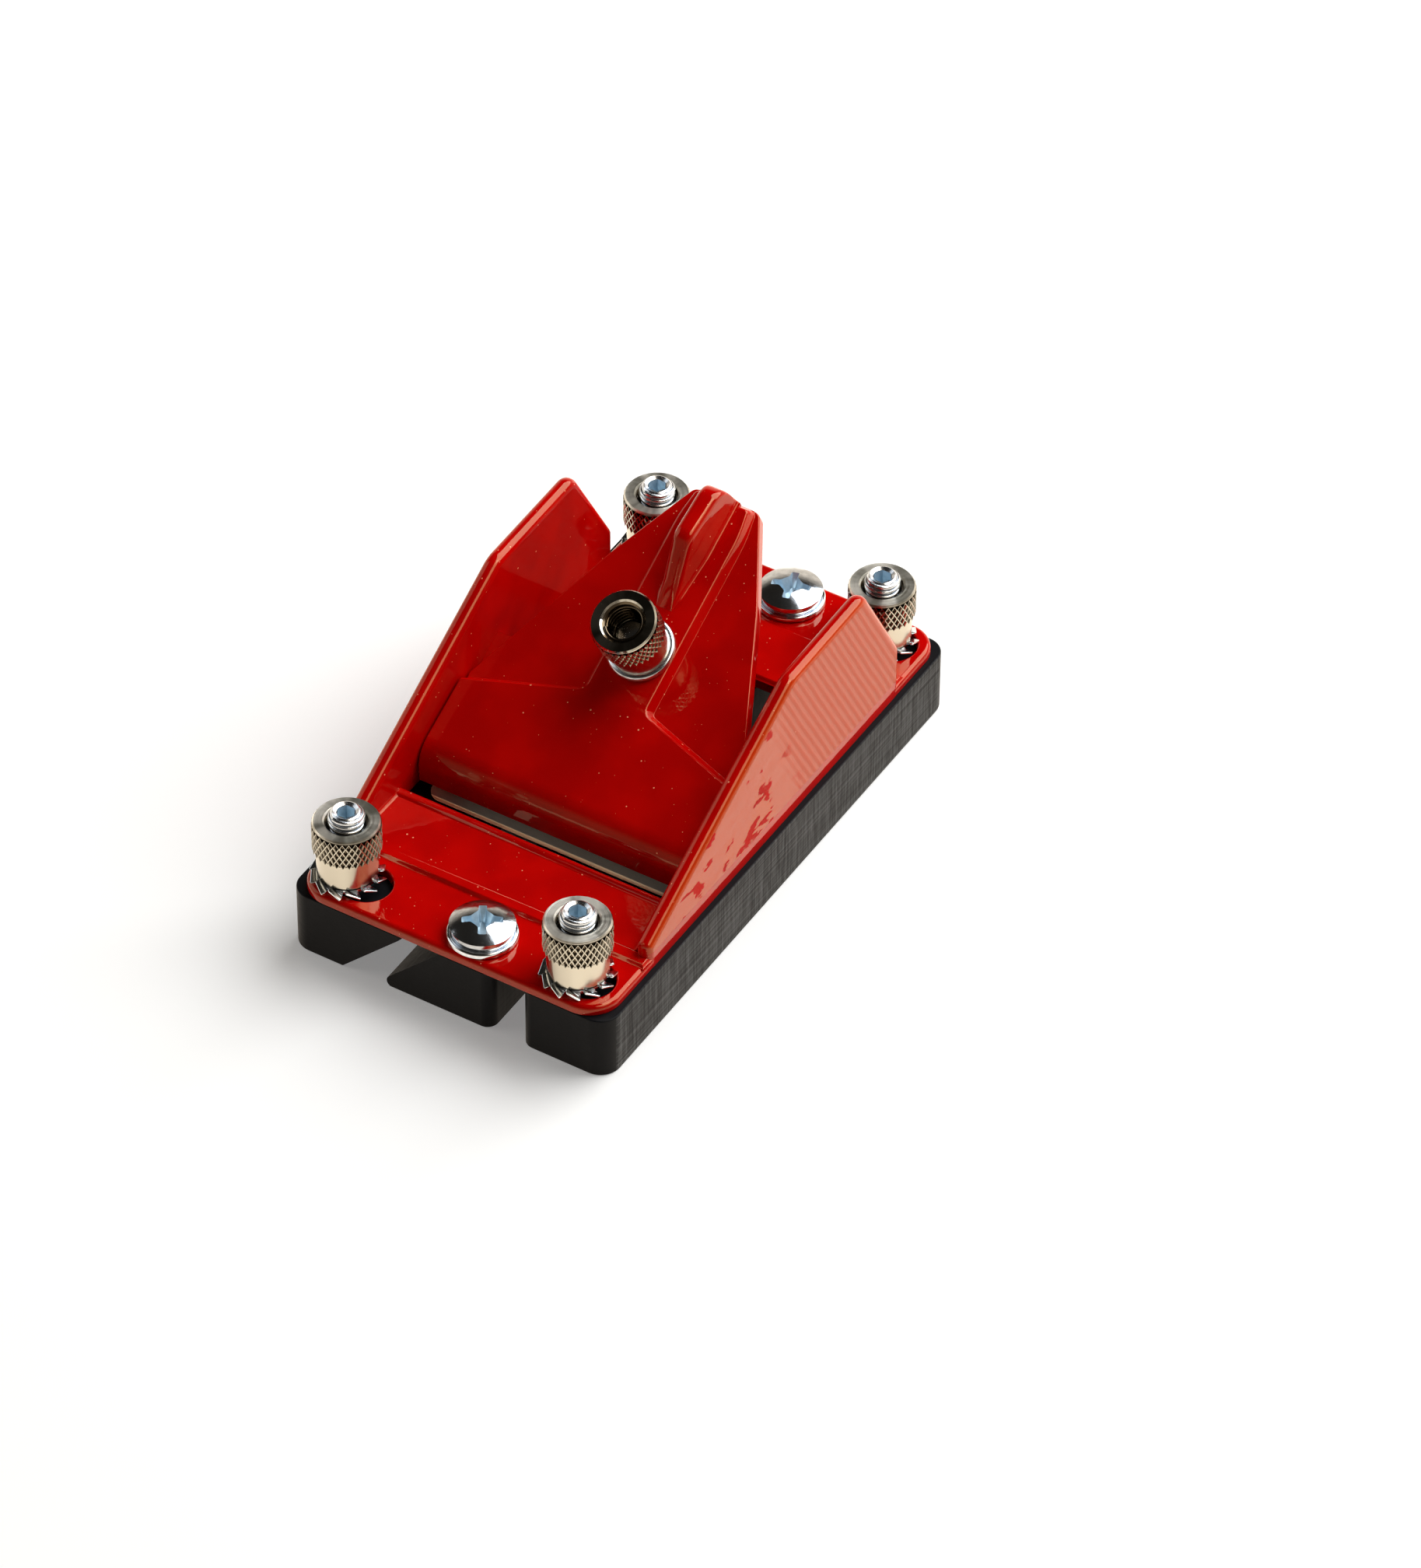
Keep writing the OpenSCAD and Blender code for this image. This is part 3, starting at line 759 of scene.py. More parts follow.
def on_stud(height):
    """The move from the origin to the stud's axis, at a height off the bed."""
    return BED @ Matrix.Translation((0, STUD_S, height))


def join_meshes(piece, other):
    """Adds another piece's mesh to one, each closed by itself, with its own normals."""
    bpy.ops.object.select_all(action="DESELECT")
    for part in (other, piece):
        part.select_set(True)
    bpy.context.view_layer.objects.active = piece
    bpy.ops.object.join()


# Materials

def red_enamel():
    """Thick glossy enamel with small dust specks, and ribs that the mould left on the fins' outer faces. The
    fins' outer faces also carry a painted orange reflection, left out in patches that stand for dark things
    reflected there.
    """
    look = settings("enamel")
    paint = Paint("gloss_enamel", roughness=look.roughness, specular_tint=(1.0, 0.82, 0.5))
    x, y, z = paint.axes()
    broad = paint.noise(7 * MM)
    dust = 0.0
    for grain, rare in DUST:
        spot = paint.cells(grain)
        chance, size, _ = paint.parts(spot["Color"])
        dust = dust + (chance > rare) * (1 - (spot / (size * size * 0.09 + 0.055)).ramp(0.5, 1.0))
    red = paint.blend(broad.ramp(0.35, 0.65), look.shade, look.colour)
    out = x.math("ABSOLUTE")
    above = z > MID + 0.7 * MM
    inner = above * (out > FIN_IN - SKIN) * (out < FIN_IN + 0.3 * MM)
    outer = above * (out > HALF_WIDTH - SKIN)
    rear = outer * (y + z * 0.35).ramp(7 * MM, 12 * MM)
    slope = FIN_PEAK_BACK / (FIN_PEAK - FIN_REAR)
    across = (y + z * slope) / (RIB_PITCH * math.hypot(1, slope))
    ribs = (across * math.tau + paint.noise(5 * MM) * 1.5).math("SINE").ramp(-0.9, 0.9)
    peel = paint.noise(1.6 * MM, detail=1.5)
    pebble = paint.noise(0.55 * MM, detail=0.0)
    waves = paint.stretched(4 * MM, (1, 1.6, 0.6), 3.0)
    front = outer - rear
    # Painted reflection: irregular patches on the fins' front half drop the orange and the gloss, standing
    # for dark things reflected there.
    painted_dark_reflection = front * paint.stretched(3 * MM, (1, 1.5, 0.7), 3.0).ramp(0.575, 0.605)
    # Painted reflection: the fins' outer faces take the orange colour, except in the dark patches.
    painted_fin_sheen = above * (1 - painted_dark_reflection) * out.ramp(HALF_WIDTH - 0.7 * MM, HALF_WIDTH - SKIN)
    colour = paint.blend(dust, paint.blend(painted_fin_sheen, red, look.painted_fin_sheen), DUST_COLOUR)
    height = peel + pebble * 0.25 + dust * 0.8 + rear * ribs * 2.0 + front * waves * 6.0
    paint.finish(colour, height, look.peel)
    matt = rear * (0.08 + ribs * 0.26) + inner * 0.8 + painted_dark_reflection * 0.8
    paint.mix_in(matt, roughness=0.5, specular_ior_level=0.0)
    return paint.material


def black_bar():
    """Dull black, worn grey along saw marks on the upright sides."""
    look = settings("metal")
    paint = Paint("black_bar", specular_ior_level=0.07)
    facing = paint.axes()[0].math("ABSOLUTE").ramp(RIGHT_HIGH[0] - 0.15 * MM, RIGHT_HIGH[0] - 0.02 * MM)
    along = paint.stretched(1 * MM, (1, 60, 0.35), 6.0, 0.7)
    down = paint.stretched(1 * MM, (1, 0.5, 9), 5.0, 0.7)
    marks = along * 0.55 + down * 0.55
    sawn = marks.ramp(0.42, 0.72)
    height = paint.noise(0.5 * MM, detail=3.0) * 0.5 + facing * marks * 2.0
    colour = paint.blend(facing * sawn, look.black, look.worn)
    return paint.finish(colour, height, 0.02 * MM, 0.38 + facing * 0.14 + sawn * 0.1)


def blade_steel():
    """Grey brushed steel, kept dark as painted shade from the cap's nose, with a painted tan highlight along
    its ground edge.
    """
    paint = Paint("blade_steel", metallic=1.0)
    up_bed = paint.parts(paint.placed(location=tuple(EDGE), rotation=(BED_ANGLE, 0, 0)))[1]
    # The ground bevel, coloured light tan as a painted highlight.
    bevel = 1 - up_bed.ramp(BEVEL_W, BEVEL_W + 0.06 * MM)
    brushed = paint.stretched(1 * MM, (25, 0.06, 0.06), 4.0)
    colour = paint.blend(bevel, settings("metal").shaded_steel, (0.82, 0.68, 0.46))
    return paint.finish(colour, brushed, 0.006 * MM, (0.33 + brushed * 0.2) * (1 + bevel * 0.5))


def nickel(name, matrix, turned=1.0, seed=0):
    """Plating turned about one nut's axis, with painted shade in the knurl's pits and painted light and dark
    streaks of reflection on its top. turned says how plainly its top is turned, seed varies it.
    """
    paint = Paint(name, metallic=1.0)
    local = paint.placed(location=tuple(matrix.translation), rotation=tuple(matrix.to_euler()))
    x, y, z = paint.parts(local)
    radius = (x * x + y * y).math("SQRT")
    top = z.ramp(NUT_LENGTH - 0.25 * MM, NUT_LENGTH - 0.2 * MM)
    rings = paint.noise(0.16 * MM, paint.vector(radius, 0.0, z * 0.2), 3.0)
    haze = paint.noise(1.2 * MM, local, 3.0)
    knurl_foot = NUT_LENGTH - settings("knurl").length
    above = z.ramp(knurl_foot, knurl_foot + 0.1 * MM)
    # Painted shade: below the knurl's mouths, in its pits, the plating is darkened.
    pit = above * (1 - radius.ramp(NUT_RADIUS - 0.2 * MM, NUT_RADIUS - 0.05 * MM)) * (1 - top)
    # Painted reflection: light and dark streaks round the top stand for the reflection of its turned grooves.
    glint_noise = paint.noise(1 / 1.1, paint.vector(x / radius, y / radius, radius * 90 + seed * 3.7), 3.0)
    painted_top_reflection = paint.blend(glint_noise.ramp(0.35, 0.65), (1.0, 0.97, 0.88), (0.26, 0.25, 0.21))
    plated = paint.blend(top, settings("metal").nickel, painted_top_reflection)
    # Painted shade in the pits: a near-black brown.
    colour = paint.blend(pit * 0.92, plated, (0.07, 0.045, 0.02))
    roughness = 0.13 + haze * 0.1 + top * (0.24 * turned - 0.1)
    return paint.finish(colour, rings * (0.04 + top * 0.96 * turned), 0.03 * MM, roughness)


def zinc(name, colour, rough, metallic=1.0):
    """Hazy bright plating."""
    paint = Paint(name, metallic=metallic)
    haze = paint.noise(0.8 * MM, detail=4.0)
    darker = [part * 0.82 for part in colour]
    shaded = paint.blend(haze.ramp(0.35, 0.7), colour, darker)
    return paint.finish(shaded, paint.noise(0.5 * MM, detail=3.0), 0.008 * MM, rough + haze * 0.12)


# Geometry Nodes trees

def new_tree(name, **inputs):
    """A Geometry Nodes tree with a geometry input, the named inputs and a geometry output."""
    tree = bpy.data.node_groups.new(name, "GeometryNodeTree")
    for way in ("INPUT", "OUTPUT"):
        tree.interface.new_socket("Geometry", in_out=way, socket_type="NodeSocketGeometry")
    for label, kind in inputs.items():
        tree.interface.new_socket(label, in_out="INPUT", socket_type="NodeSocket" + kind)
    graph = Graph(tree)
    outputs = graph.add("NodeGroupInput").socket.node.outputs
    return graph, {socket.name: Wire(graph, socket) for socket in outputs if socket.name}


def close_tree(graph, parts, material):
    """Joins the parts, realizes them, sets the material and leads them out."""
    join = graph.add("GeometryNodeJoinGeometry")
    for part in parts:
        graph.tree.links.new(part.socket, join.socket.node.inputs[0])
    real = graph.add("GeometryNodeRealizeInstances", join)
    done = graph.add("GeometryNodeSetMaterial", Geometry=real, Material=material)
    target = graph.tree.nodes.new("NodeGroupOutput")
    graph.tree.links.new(done.socket, target.inputs[0])
    return graph.tree


def run_tree(piece, tree, **values):
    """Runs a tree on a piece with its inputs set, and bakes the result."""
    change = piece.modifiers.new(tree.name, "NODES")
    change.node_group = tree
    for entry in tree.interface.items_tree:
        if entry.in_out == "INPUT" and entry.name in values:
            change[entry.identifier] = values[entry.name]
    bake(piece)


def copies_round(graph, count, angle, radius, height, seed, **extra):
    """Copies of an object round Z, each turned to face outwards."""
    points = graph.add("GeometryNodePoints", count)
    place = graph.vector(angle.math("COSINE") * radius, angle.math("SINE") * radius, height)
    placed = graph.add("GeometryNodeSetPosition", Geometry=points, Position=place)
    turn = graph.vector(0.0, 0.0, angle)
    shape = graph.add("GeometryNodeObjectInfo", Object=seed)["Geometry"]
    return graph.add("GeometryNodeInstanceOnPoints", Points=placed, Instance=shape, Rotation=turn, **extra)


def knurl_tree():
    """Rows of pits pressed round a nut, each one a copy of a small sunk diamond."""
    graph, given = new_tree(
        "knurl", Pit="Object", Around="Int", Rows="Int", Radius="Float", Bottom="Float", Length="Float",
        Material="Material")
    around, radius = given["Around"], given["Radius"]
    index = graph.add("GeometryNodeInputIndex")
    row = (index / around + 0.0001).math("FLOOR")
    column = index - row * around
    angle = (column + (row % 2.0) * 0.5) / around * math.tau
    step = given["Length"] / (given["Rows"] + 1)
    height = given["Bottom"] + (row + 1.0) * step
    size = graph.vector(1.0, radius * math.pi / around, step)
    copies = copies_round(graph, around * given["Rows"], angle, radius, height, given["Pit"], Scale=size)
    return close_tree(graph, [given["Geometry"], copies], given["Material"])


def thread_tree():
    """A ridge that climbs round a screw or a bore."""
    graph, given = new_tree(
        "thread", Pitch="Float", Turns="Float", Radius="Float", Bottom="Float", Depth="Float",
        Material="Material")
    spiral = graph.add(
        "GeometryNodeCurveSpiral", Resolution=40, Rotations=given["Turns"], Start_Radius=given["Radius"],
        End_Radius=given["Radius"], Height=given["Turns"] * given["Pitch"])
    upright = graph.add("GeometryNodeSetCurveNormal", spiral, options={"mode": "Z_UP"})
    ridge = graph.add(
        "GeometryNodeCurvePrimitiveCircle", Resolution=4, Radius=given["Depth"], options={"mode": "RADIUS"})
    swept = graph.add("GeometryNodeCurveToMesh", Curve=upright, Profile_Curve=ridge, Fill_Caps=True)
    lift = graph.vector(0.0, 0.0, given["Bottom"])
    raised = graph.add("GeometryNodeTransform", Geometry=swept, Translation=lift)
    return close_tree(graph, [given["Geometry"], raised], given["Material"])


def ring_tree():
    """Copies of a tooth round a ring."""
    graph, given = new_tree("teeth", Tooth="Object", Count="Int", Radius="Float", Material="Material")
    angle = graph.add("GeometryNodeInputIndex") / given["Count"] * math.tau
    copies = copies_round(graph, given["Count"], angle, given["Radius"], 0.0, given["Tooth"])
    return close_tree(graph, [given["Geometry"], copies], given["Material"])


def add_thread(piece, tree, turns, radius, bottom, material, share=1.0):
    """Winds a ridge round an upright piece. share says how much of the full depth it has."""
    threads = settings("threads")
    run_tree(
        piece, tree, Pitch=threads.pitch, Turns=turns, Radius=radius, Bottom=bottom,
        Depth=threads.depth * share, Material=material)


# The casting

def plate(lap):
    """The flat plate with its open middle, and the raised decks."""
    y, x = HALF_LENGTH, HALF_WIDTH
    outline = oblong((-x, -y), (x, y), PLATE_CORNER)
    body = solid("casting", plan, outline, BAR_TOP, DECK, 0.08 * MM, settings("enamel").edge, 14)
    opening = block("open", (-FIN_IN, -MOUTH_Y, BAR_TOP - MM), (FIN_IN, REAR_DECK_Y, DECK + MM))
    combine(body, [opening], "DIFFERENCE")
    flare = DECK_FLARE
    levels = [(-flare, DECK - lap / 8)]
    for part in range(9):
        share = part / 8
        rise = (MID - DECK) * share * share * (3 - 2 * share)
        levels.append((-flare + 2 * flare * share, DECK + LIFT + rise))
    edge = x - flare
    decks = [
        stack("deck", plan, oblong((-edge, low), (edge, high)), levels)
        for low, high in ((-STEP_Y, -MOUTH_Y - flare), (REAR_DECK_Y + flare, STEP_Y))]
    return combine(body, decks, "UNION")


def fin(low, high):
    """One upright fin with round edges, cut flat below."""
    foot = BAR_TOP - MM
    peak = BAR_TOP + FIN_PEAK
    bend = peak - FIN_FALL
    bend_y = -FIN_Y + (bend - BAR_TOP - FIN_FRONT) / math.tan(BED_ANGLE)
    side_view = [
        (-FIN_Y, foot, 0), (FIN_Y, foot, 0), (FIN_Y, BAR_TOP + FIN_REAR, 1.6 * MM),
        (FIN_Y - FIN_PEAK_BACK, peak, 2.4 * MM), (bend_y, bend, 5 * MM),
        (-FIN_Y, BAR_TOP + FIN_FRONT, 0.9 * MM)]
    piece = solid("fin", side, side_view, low, high, FIN_ROUND, FIN_ROUND)
    under = block("under", (low - MM, -HALF_LENGTH, foot - MM), (high + MM, HALF_LENGTH, BAR_TOP + 0.01 * MM))
    return combine(piece, [under], "DIFFERENCE")


def cove(sign_x, low, high):
    """A hollow fillet where a deck meets a fin's inner face."""
    x = FIN_IN * sign_x
    over = 0.1 * MM
    profile = [(x + sign_x * over, MID - over), (x - sign_x * COVE, MID - over)]
    profile += [(x - sign_x * COVE * a, MID + LIFT + COVE * b) for a, b in quarter(6)]
    profile.append((x + sign_x * over, MID + COVE))
    return prism("cove", end, profile, low, high)


def bed_parts(lap):
    """The sloping bed: slab, toe, tongue and the boss under it."""
    toe_foot = (BAR_TOP - EDGE.z - TOE_S * UP_BED.z) / OFF_BED.z
    under = (BAR_TOP - EDGE.z + BED_T * OFF_BED.z) / UP_BED.z
    slab = [(TOE_STRIP, 0), (BED_L, 0), (BED_L, -BED_T), (under, -BED_T)]
    slab.append((TOE_STRIP, (BAR_TOP - EDGE.z - TOE_STRIP * UP_BED.z) / OFF_BED.z))
    toe = [(TOE_S, 0), (TOE_STRIP + 2 * lap, 0), (under + lap, -BED_T), (under, -BED_T), (TOE_S, toe_foot)]
    tongue = oblong((-TONGUE_R, BED_L - lap), (TONGUE_R, TONGUE_L), 0, 1.5 * MM)
    return [
        prism("slab", bed_side, slab, -FIN_IN - lap, FIN_IN + lap),
        prism("toe", bed_side, toe, -TOE_HALF, TOE_HALF),
        solid("tongue", bed_plan, tongue, -BED_T, 0, 0.4 * MM, 0.2 * MM),
        solid("boss", bed_plan, disc(0, STUD_S, BOSS_R), -BED_T - BOSS_L, -lap, 0.5 * MM, 0, 12),
    ]


def bead(lap):
    """The low rim along the front of the mouth."""
    top = MID + BEAD_H
    back = -MOUTH_Y - BEAD_W
    profile = rounded([
        (-MOUTH_Y, BAR_TOP + lap, 0), (-MOUTH_Y, top, 0.6 * MM), (-MOUTH_Y - BEAD_W * 0.75, top, 0.5 * MM),
        (back, MID - 0.05 * MM, 0), (back, BAR_TOP + lap, 0)])
    return prism("bead", side, profile, -FIN_IN - lap, FIN_IN + lap)


def casting():
    """The red casting: plate, fins and bed, joined and cut."""
    lap = FIN_T / 2
    body = plate(lap)
    parts = [fin(-HALF_WIDTH, -FIN_IN), fin(FIN_IN, HALF_WIDTH), bead(lap)] + bed_parts(lap)
    for sign_x in (-1, 1):
        parts.append(cove(sign_x, -FIN_Y + 0.6 * MM, -MOUTH_Y - BEAD_W / 2))
        parts.append(cove(sign_x, REAR_DECK_Y, FIN_Y - 0.6 * MM))
    combine(body, parts, "UNION")
    half, reach = SLOT_W / 2, SLOT_L / 2
    levels = [(0, BAR_TOP - MM), (0, DECK - SLOT_LIP)]
    levels += [(-SLOT_LIP * b, DECK - SLOT_LIP * a) for a, b in quarter(4, 1)]
    levels.append((-SLOT_LIP, DECK + MM))
    cuts = [
        stack("slot", plan, oblong((x - reach, y - half), (x + reach, y + half), half * 0.999), levels, 12)
        for x in (-SLOT_X, SLOT_X) for y in (SLOT_Y, -SLOT_Y)]
    tab = TAB_X + TAB_GAP
    tabs = rounded(oblong((-tab, TAB_LOW), (tab, TAB_HIGH)))
    cuts.append(prism("tabs", bed_plan, tabs, 0, BLADE_T + TAB_GAP))
    return combine(body, cuts, "DIFFERENCE")


class CHAMFER_OT_casting(bpy.types.Operator):
    """Makes the red casting, with its plate, fins and bed"""
    bl_idname = "chamfer.casting"
    bl_label = "Casting"

    def execute(self, context):
        body = casting()
        crisp(body)
        dress(body, "plane_body", "plane", red_enamel())
        return {"FINISHED"}


# The lever cap

def raised_part():
    """The nose block and the spine, with drafted walls and a hollow fillet at their foot."""
    wide = CAP_HALF + MM
    tail_s = CAP_END_S - 0.1 * MM
    foot = mirrored([
        (wide, TOE - MM, 0), (wide, BLOCK_SIDE_S, 0), (SPINE_FOOT, BLOCK_MID_S, 0.9 * MM),
        (SPINE_FOOT, SPINE_BEND_S, 20 * MM), (SPINE_TAIL, tail_s, 0.9 * MM)])
    draft = (SPINE_FOOT - SPINE_TOP) / (SPINE_H - WING_H)
    levels = [(0, BLADE_T - MM), (0, WING_H - 0.2 * MM)]
    levels += [(-CAP_FILLET * a, WING_H - 0.015 * MM + CAP_FILLET * b) for a, b in quarter(5)]
    levels.append((draft * (CREST_H + MM - WING_H - CAP_FILLET), CREST_H + MM))
    side_view = rounded([
        (TOE, BLADE_T, 0), (CAP_END_S, BLADE_T, 0), (CAP_END_S, SPINE_H, 0), (BLOCK_MID_S, SPINE_H, 8 * MM),
        (CREST_S, CREST_H, NOSE_R)], 14)
    shape = prism("cap", bed_side, side_view, -CAP_HALF, CAP_HALF)
    return combine(shape, [stack("raised", bed_plan, foot, levels, 6)], "INTERSECT")


def raised_radius(point, inner):
    """Only the rims of the top and the block's upright corners are rounded."""
    x, s, h = BED.inverted() @ point
    top = h > SPINE_H - 0.1 * MM
    nose_end = abs(x) > CAP_HALF - 0.05 * MM and h > BLADE_T + 0.1 * MM
    return CAP_ROUND if (top or nose_end) and not inner and s > TOE + 0.1 * MM else 0


def cap_blank():
    """The cap without its rib."""
    wings = mirrored([
        (CAP_HALF, WING_FRONT, 0), (CAP_HALF, WING_S, 1 * MM), (WING_BEND_X, WING_BEND_S, 30 * MM),
        (CAP_END_X, CAP_END_S, 1.2 * MM)])
    shape = raised_part()
    tidy(shape)
    soften(shape, raised_radius, CAP_ROUND, least=30)
    combine(shape, [solid("wings", bed_plan, wings, BLADE_T, WING_H, 0.15 * MM, CAP_ROUND)], "UNION")
    hollow = oblong((-HOLLOW_X, HOLLOW_S), (HOLLOW_X, BLOCK_SIDE_S), MM)
    groove = oblong((-SPINE_TOP, BLOCK_SIDE_S - MM), (SPINE_TOP, GROOVE_S), 0, 2 * MM)
    return combine(shape, [
        solid("hole", bed_plan, disc(0, STUD_S, PLAIN_HOLE_R), 0, CREST_H, steps=12),
        solid("hollow", bed_plan, hollow, 0, HOLLOW_H),
        solid("groove", bed_plan, groove, 0, HOLLOW_H),
    ], "DIFFERENCE")


def rib_half(s, part):
    """Half width of the rib's foot (part 1) or top (part 2) at a place along the bed."""
    first, second = (RIB_FOOT, RIB_KINK) if s < RIB_KINK[0] else (RIB_KINK, RIB_END)
    share = min(max((s - first[0]) / (second[0] - first[0]), 0), 1)
    return first[part] + (second[part] - first[part]) * share


def rib_section(s, top):
    """One cross-section of the rib, with round shoulders and a flared foot."""
    rise = max(top - SPINE_H, 0.01 * MM)
    foot = rib_half(s, 1)
    head = foot + (rib_half(s, 2) - foot) * min(1, rise / (5 * MM))
    flare = min(RIB_FLARE, rise * 0.45)
    shoulder = min(RIB_SHOULDER, rise * 0.45)
    half = [(foot + flare, SPINE_H - 0.6 * MM)]
    half += [(foot + flare * a, SPINE_H + flare * b) for a, b in quarter(5)]
    half += [(head - shoulder * b, SPINE_H + rise - shoulder * a) for a, b in quarter(5)]
    return half + [(-u, v) for u, v in reversed(half)]


def thumb_rib():
    """The tall rib, swept along the bed in cross-sections."""
    crest = rounded([
        (RIB_FOOT[0], SPINE_H, 0), RIB_FRONT_TOP, RIB_REAR_TOP,
        (CAP_END_S - 0.02 * MM, SPINE_H + 0.2 * MM, 0)], 10)
    dense = []
    for point, after in zip(crest, crest[1:]):
        parts = max(1, round((after - point).length / RIB_STEP))
        dense += [point.lerp(after, part / parts) for part in range(parts)]
    dense.append(crest[-1])
    bm = bmesh.new()
    bridge(bm, [[bm.verts.new(bed_plan(u, s, v)) for u, v in rib_section(s, top)] for s, top in dense])
    bmesh.ops.remove_doubles(bm, verts=bm.verts, dist=0.001 * MM)
    rib = add_piece("rib", bm)
    smooth(rib, 50)
    return rib


class CHAMFER_OT_lever_cap(bpy.types.Operator):
    """Makes the lever cap: rolled nose, spine, wings and thumb rib"""
    bl_idname = "chamfer.lever_cap"
    bl_label = "Lever cap"

    def execute(self, context):
        shape = cap_blank()
        crisp(shape)
        join_meshes(shape, thumb_rib())
        dress(shape, "lever_cap", "cap", bpy.data.materials["gloss_enamel"])
        return {"FINISHED"}


# The guide bars and the blade

def bar(name, section, left, right, relief_low, relief_high):
    """One guide bar between a left and a right (place, corner radius), kept inside an end view."""
    y = HALF_LENGTH
    outline = [
        (left[0], -y, left[1]), (right[0], -y, right[1]), (right[0], y, right[1]), (left[0], y, left[1])]
    shape = solid(name, plan, outline, 0, BAR_TOP, BAR_RIM, BAR_RIM, 10)
    combine(shape, [prism("section", end, rounded(section), -y - MM, y + MM)], "INTERSECT")
    low = (relief_low, -MOUTH_Y, BAR_TOP - RELIEF_D)
    high = (relief_high, -MOUTH_Y + 2 * MOUTH_GAP, BAR_TOP + MM)
    combine(shape, [block("relief", low, high)], "DIFFERENCE")
    crisp(shape)
    return shape


class CHAMFER_OT_guide_bars(bpy.types.Operator):
    """Makes the three black guide bars"""
    bl_idname = "chamfer.guide_bars"
    bl_label = "Guide bars"

    def execute(self, context):
        black = black_bar()
        top = BAR_TOP
        foot = VEE_X - VEE_GAP
        centre_out, left_out = CENTRE_HIGH[0] + MM, LEFT_X - MM
        right_in, right_out = RIGHT_LOW[0] - MM, RIGHT_HIGH[0] + MM
        centre = bar(
            "centre_bar_body",
            [(VEE_X, 0, NOSE_EDGE_R), (centre_out, 0, 0), (centre_out, top, 0), (VEE_X + top, top, SLANT_R)],
            (VEE_X, NOSE_EDGE_R), (CENTRE_HIGH[0], SLOT_CORNER), VEE_X - MM, centre_out)
        left = bar(
            "left_bar_body",
            [(left_out, 0, 0), (foot, 0, NOSE_EDGE_R), (foot + top, top, SLANT_R), (left_out, top, 0)],
            (LEFT_X, BAR_CORNER), (foot + top, NOSE_EDGE_R), -RELIEF_X, foot + top + MM)
        right = bar(
            "right_bar_body", oblong((right_in, 0), (right_out, top)), (RIGHT_LOW[0], SLOT_CORNER),
            (RIGHT_HIGH[0], BAR_CORNER), right_in, RELIEF_X)
        dress(centre, "centre_bar", "plane", black)
        dress(left, "left_bar", "left_guide", black)
        dress(right, "right_bar", "right_guide", black)
        return {"FINISHED"}


class CHAMFER_OT_blade(bpy.types.Operator):
    """Makes the thin blade under the cap"""
    bl_idname = "chamfer.blade"
    bl_label = "Blade"

    def execute(self, context):
        mid, edge, far = BLADE_W / 2, BLADE_EDGE_X, BLADE_W - BLADE_STRIP
        outline = mirrored([
            (edge, 0, BLADE_CORNER), (edge, BLADE_STRIP, 0), (TAB_X, BLADE_STRIP, BLADE_NOTCH_R),
            (TAB_X, far, BLADE_NOTCH_R), (edge, far, 0), (edge, BLADE_W, BLADE_CORNER)])
        shape = prism("blade_steel_strip", bed_plan, rounded(outline), 0, BLADE_T)
        slot = oblong(
            (-BLADE_SLOT_X, mid - BLADE_SLOT_HALF), (BLADE_SLOT_X, mid + BLADE_SLOT_HALF), BLADE_SLOT_R)
        combine(shape, [
            prism("slot", bed_plan, rounded(slot), -MM, MM),
            prism("hole", bed_plan, circle(BLADE_HOLE_R, 32, mid), -MM, MM),
        ], "DIFFERENCE")
        ground = [(-MM, -MM), (-MM, 2 * MM), (BEVEL_W, 2 * MM), (BEVEL_W, BLADE_T), (0, BEVEL_EDGE), (0, -MM)]
        combine(shape, [prism("grind", bed_side, ground, -edge - MM, edge + MM)], "DIFFERENCE")
        tidy(shape)
        soften(shape, lambda point, inner: 0.03 * MM, 0.03 * MM, steps=1, least=60)
        dress(shape, "blade", "plane", blade_steel())
        return {"FINISHED"}


# The nuts, the screws and the washers

def pit_shape():
    """One diamond pit of unit half width and half height, its mouth at the knurl's radius."""
    depth = settings("knurl").depth
    corners = ((-1, 0), (0, -1), (1, 0), (0, 1))
    bm = bmesh.new()
    bridge(bm, [
        [bm.verts.new((-sink * depth, u * reach, v * reach)) for u, v in corners]
        for reach, sink in ((1.0, 0.0), (0.84, 0.0), (0.3, 1.0))], (-1,))
    return link_mesh("pit", bm)


def nut_profile():
    """Outline of a nut without the face of its knurl: collar, core, top and bore."""
    knurl = settings("knurl")
    radius, length = NUT_RADIUS, NUT_LENGTH
    collar = radius - 0.45 * MM
    lead = 0.5 * MM
    bottom = length - knurl.length
    core = radius - knurl.depth - 0.05 * MM
    return [
        (BORE_R, 0), (collar - 0.15 * MM, 0), (collar, 0.15 * MM), (collar, bottom),
        (core, bottom + 0.1 * MM), (core, length - 0.34 * MM), (radius - 0.05 * MM, length - 0.32 * MM),
        (radius - 0.26 * MM, length), (BORE_R + lead, length), (BORE_R, length - lead)]


def knurled_nut(name, material, knurl, pit):
    """One nut, upright at the origin."""
    look = settings("knurl")
    nut = lathe(name, nut_profile(), 96, material)
    smooth(nut, 25)
    run_tree(
        nut, knurl, Pit=pit, Around=look.around, Rows=look.rows, Radius=NUT_RADIUS,
        Bottom=NUT_LENGTH - look.length, Length=look.length - 0.3 * MM, Material=material)
    return nut


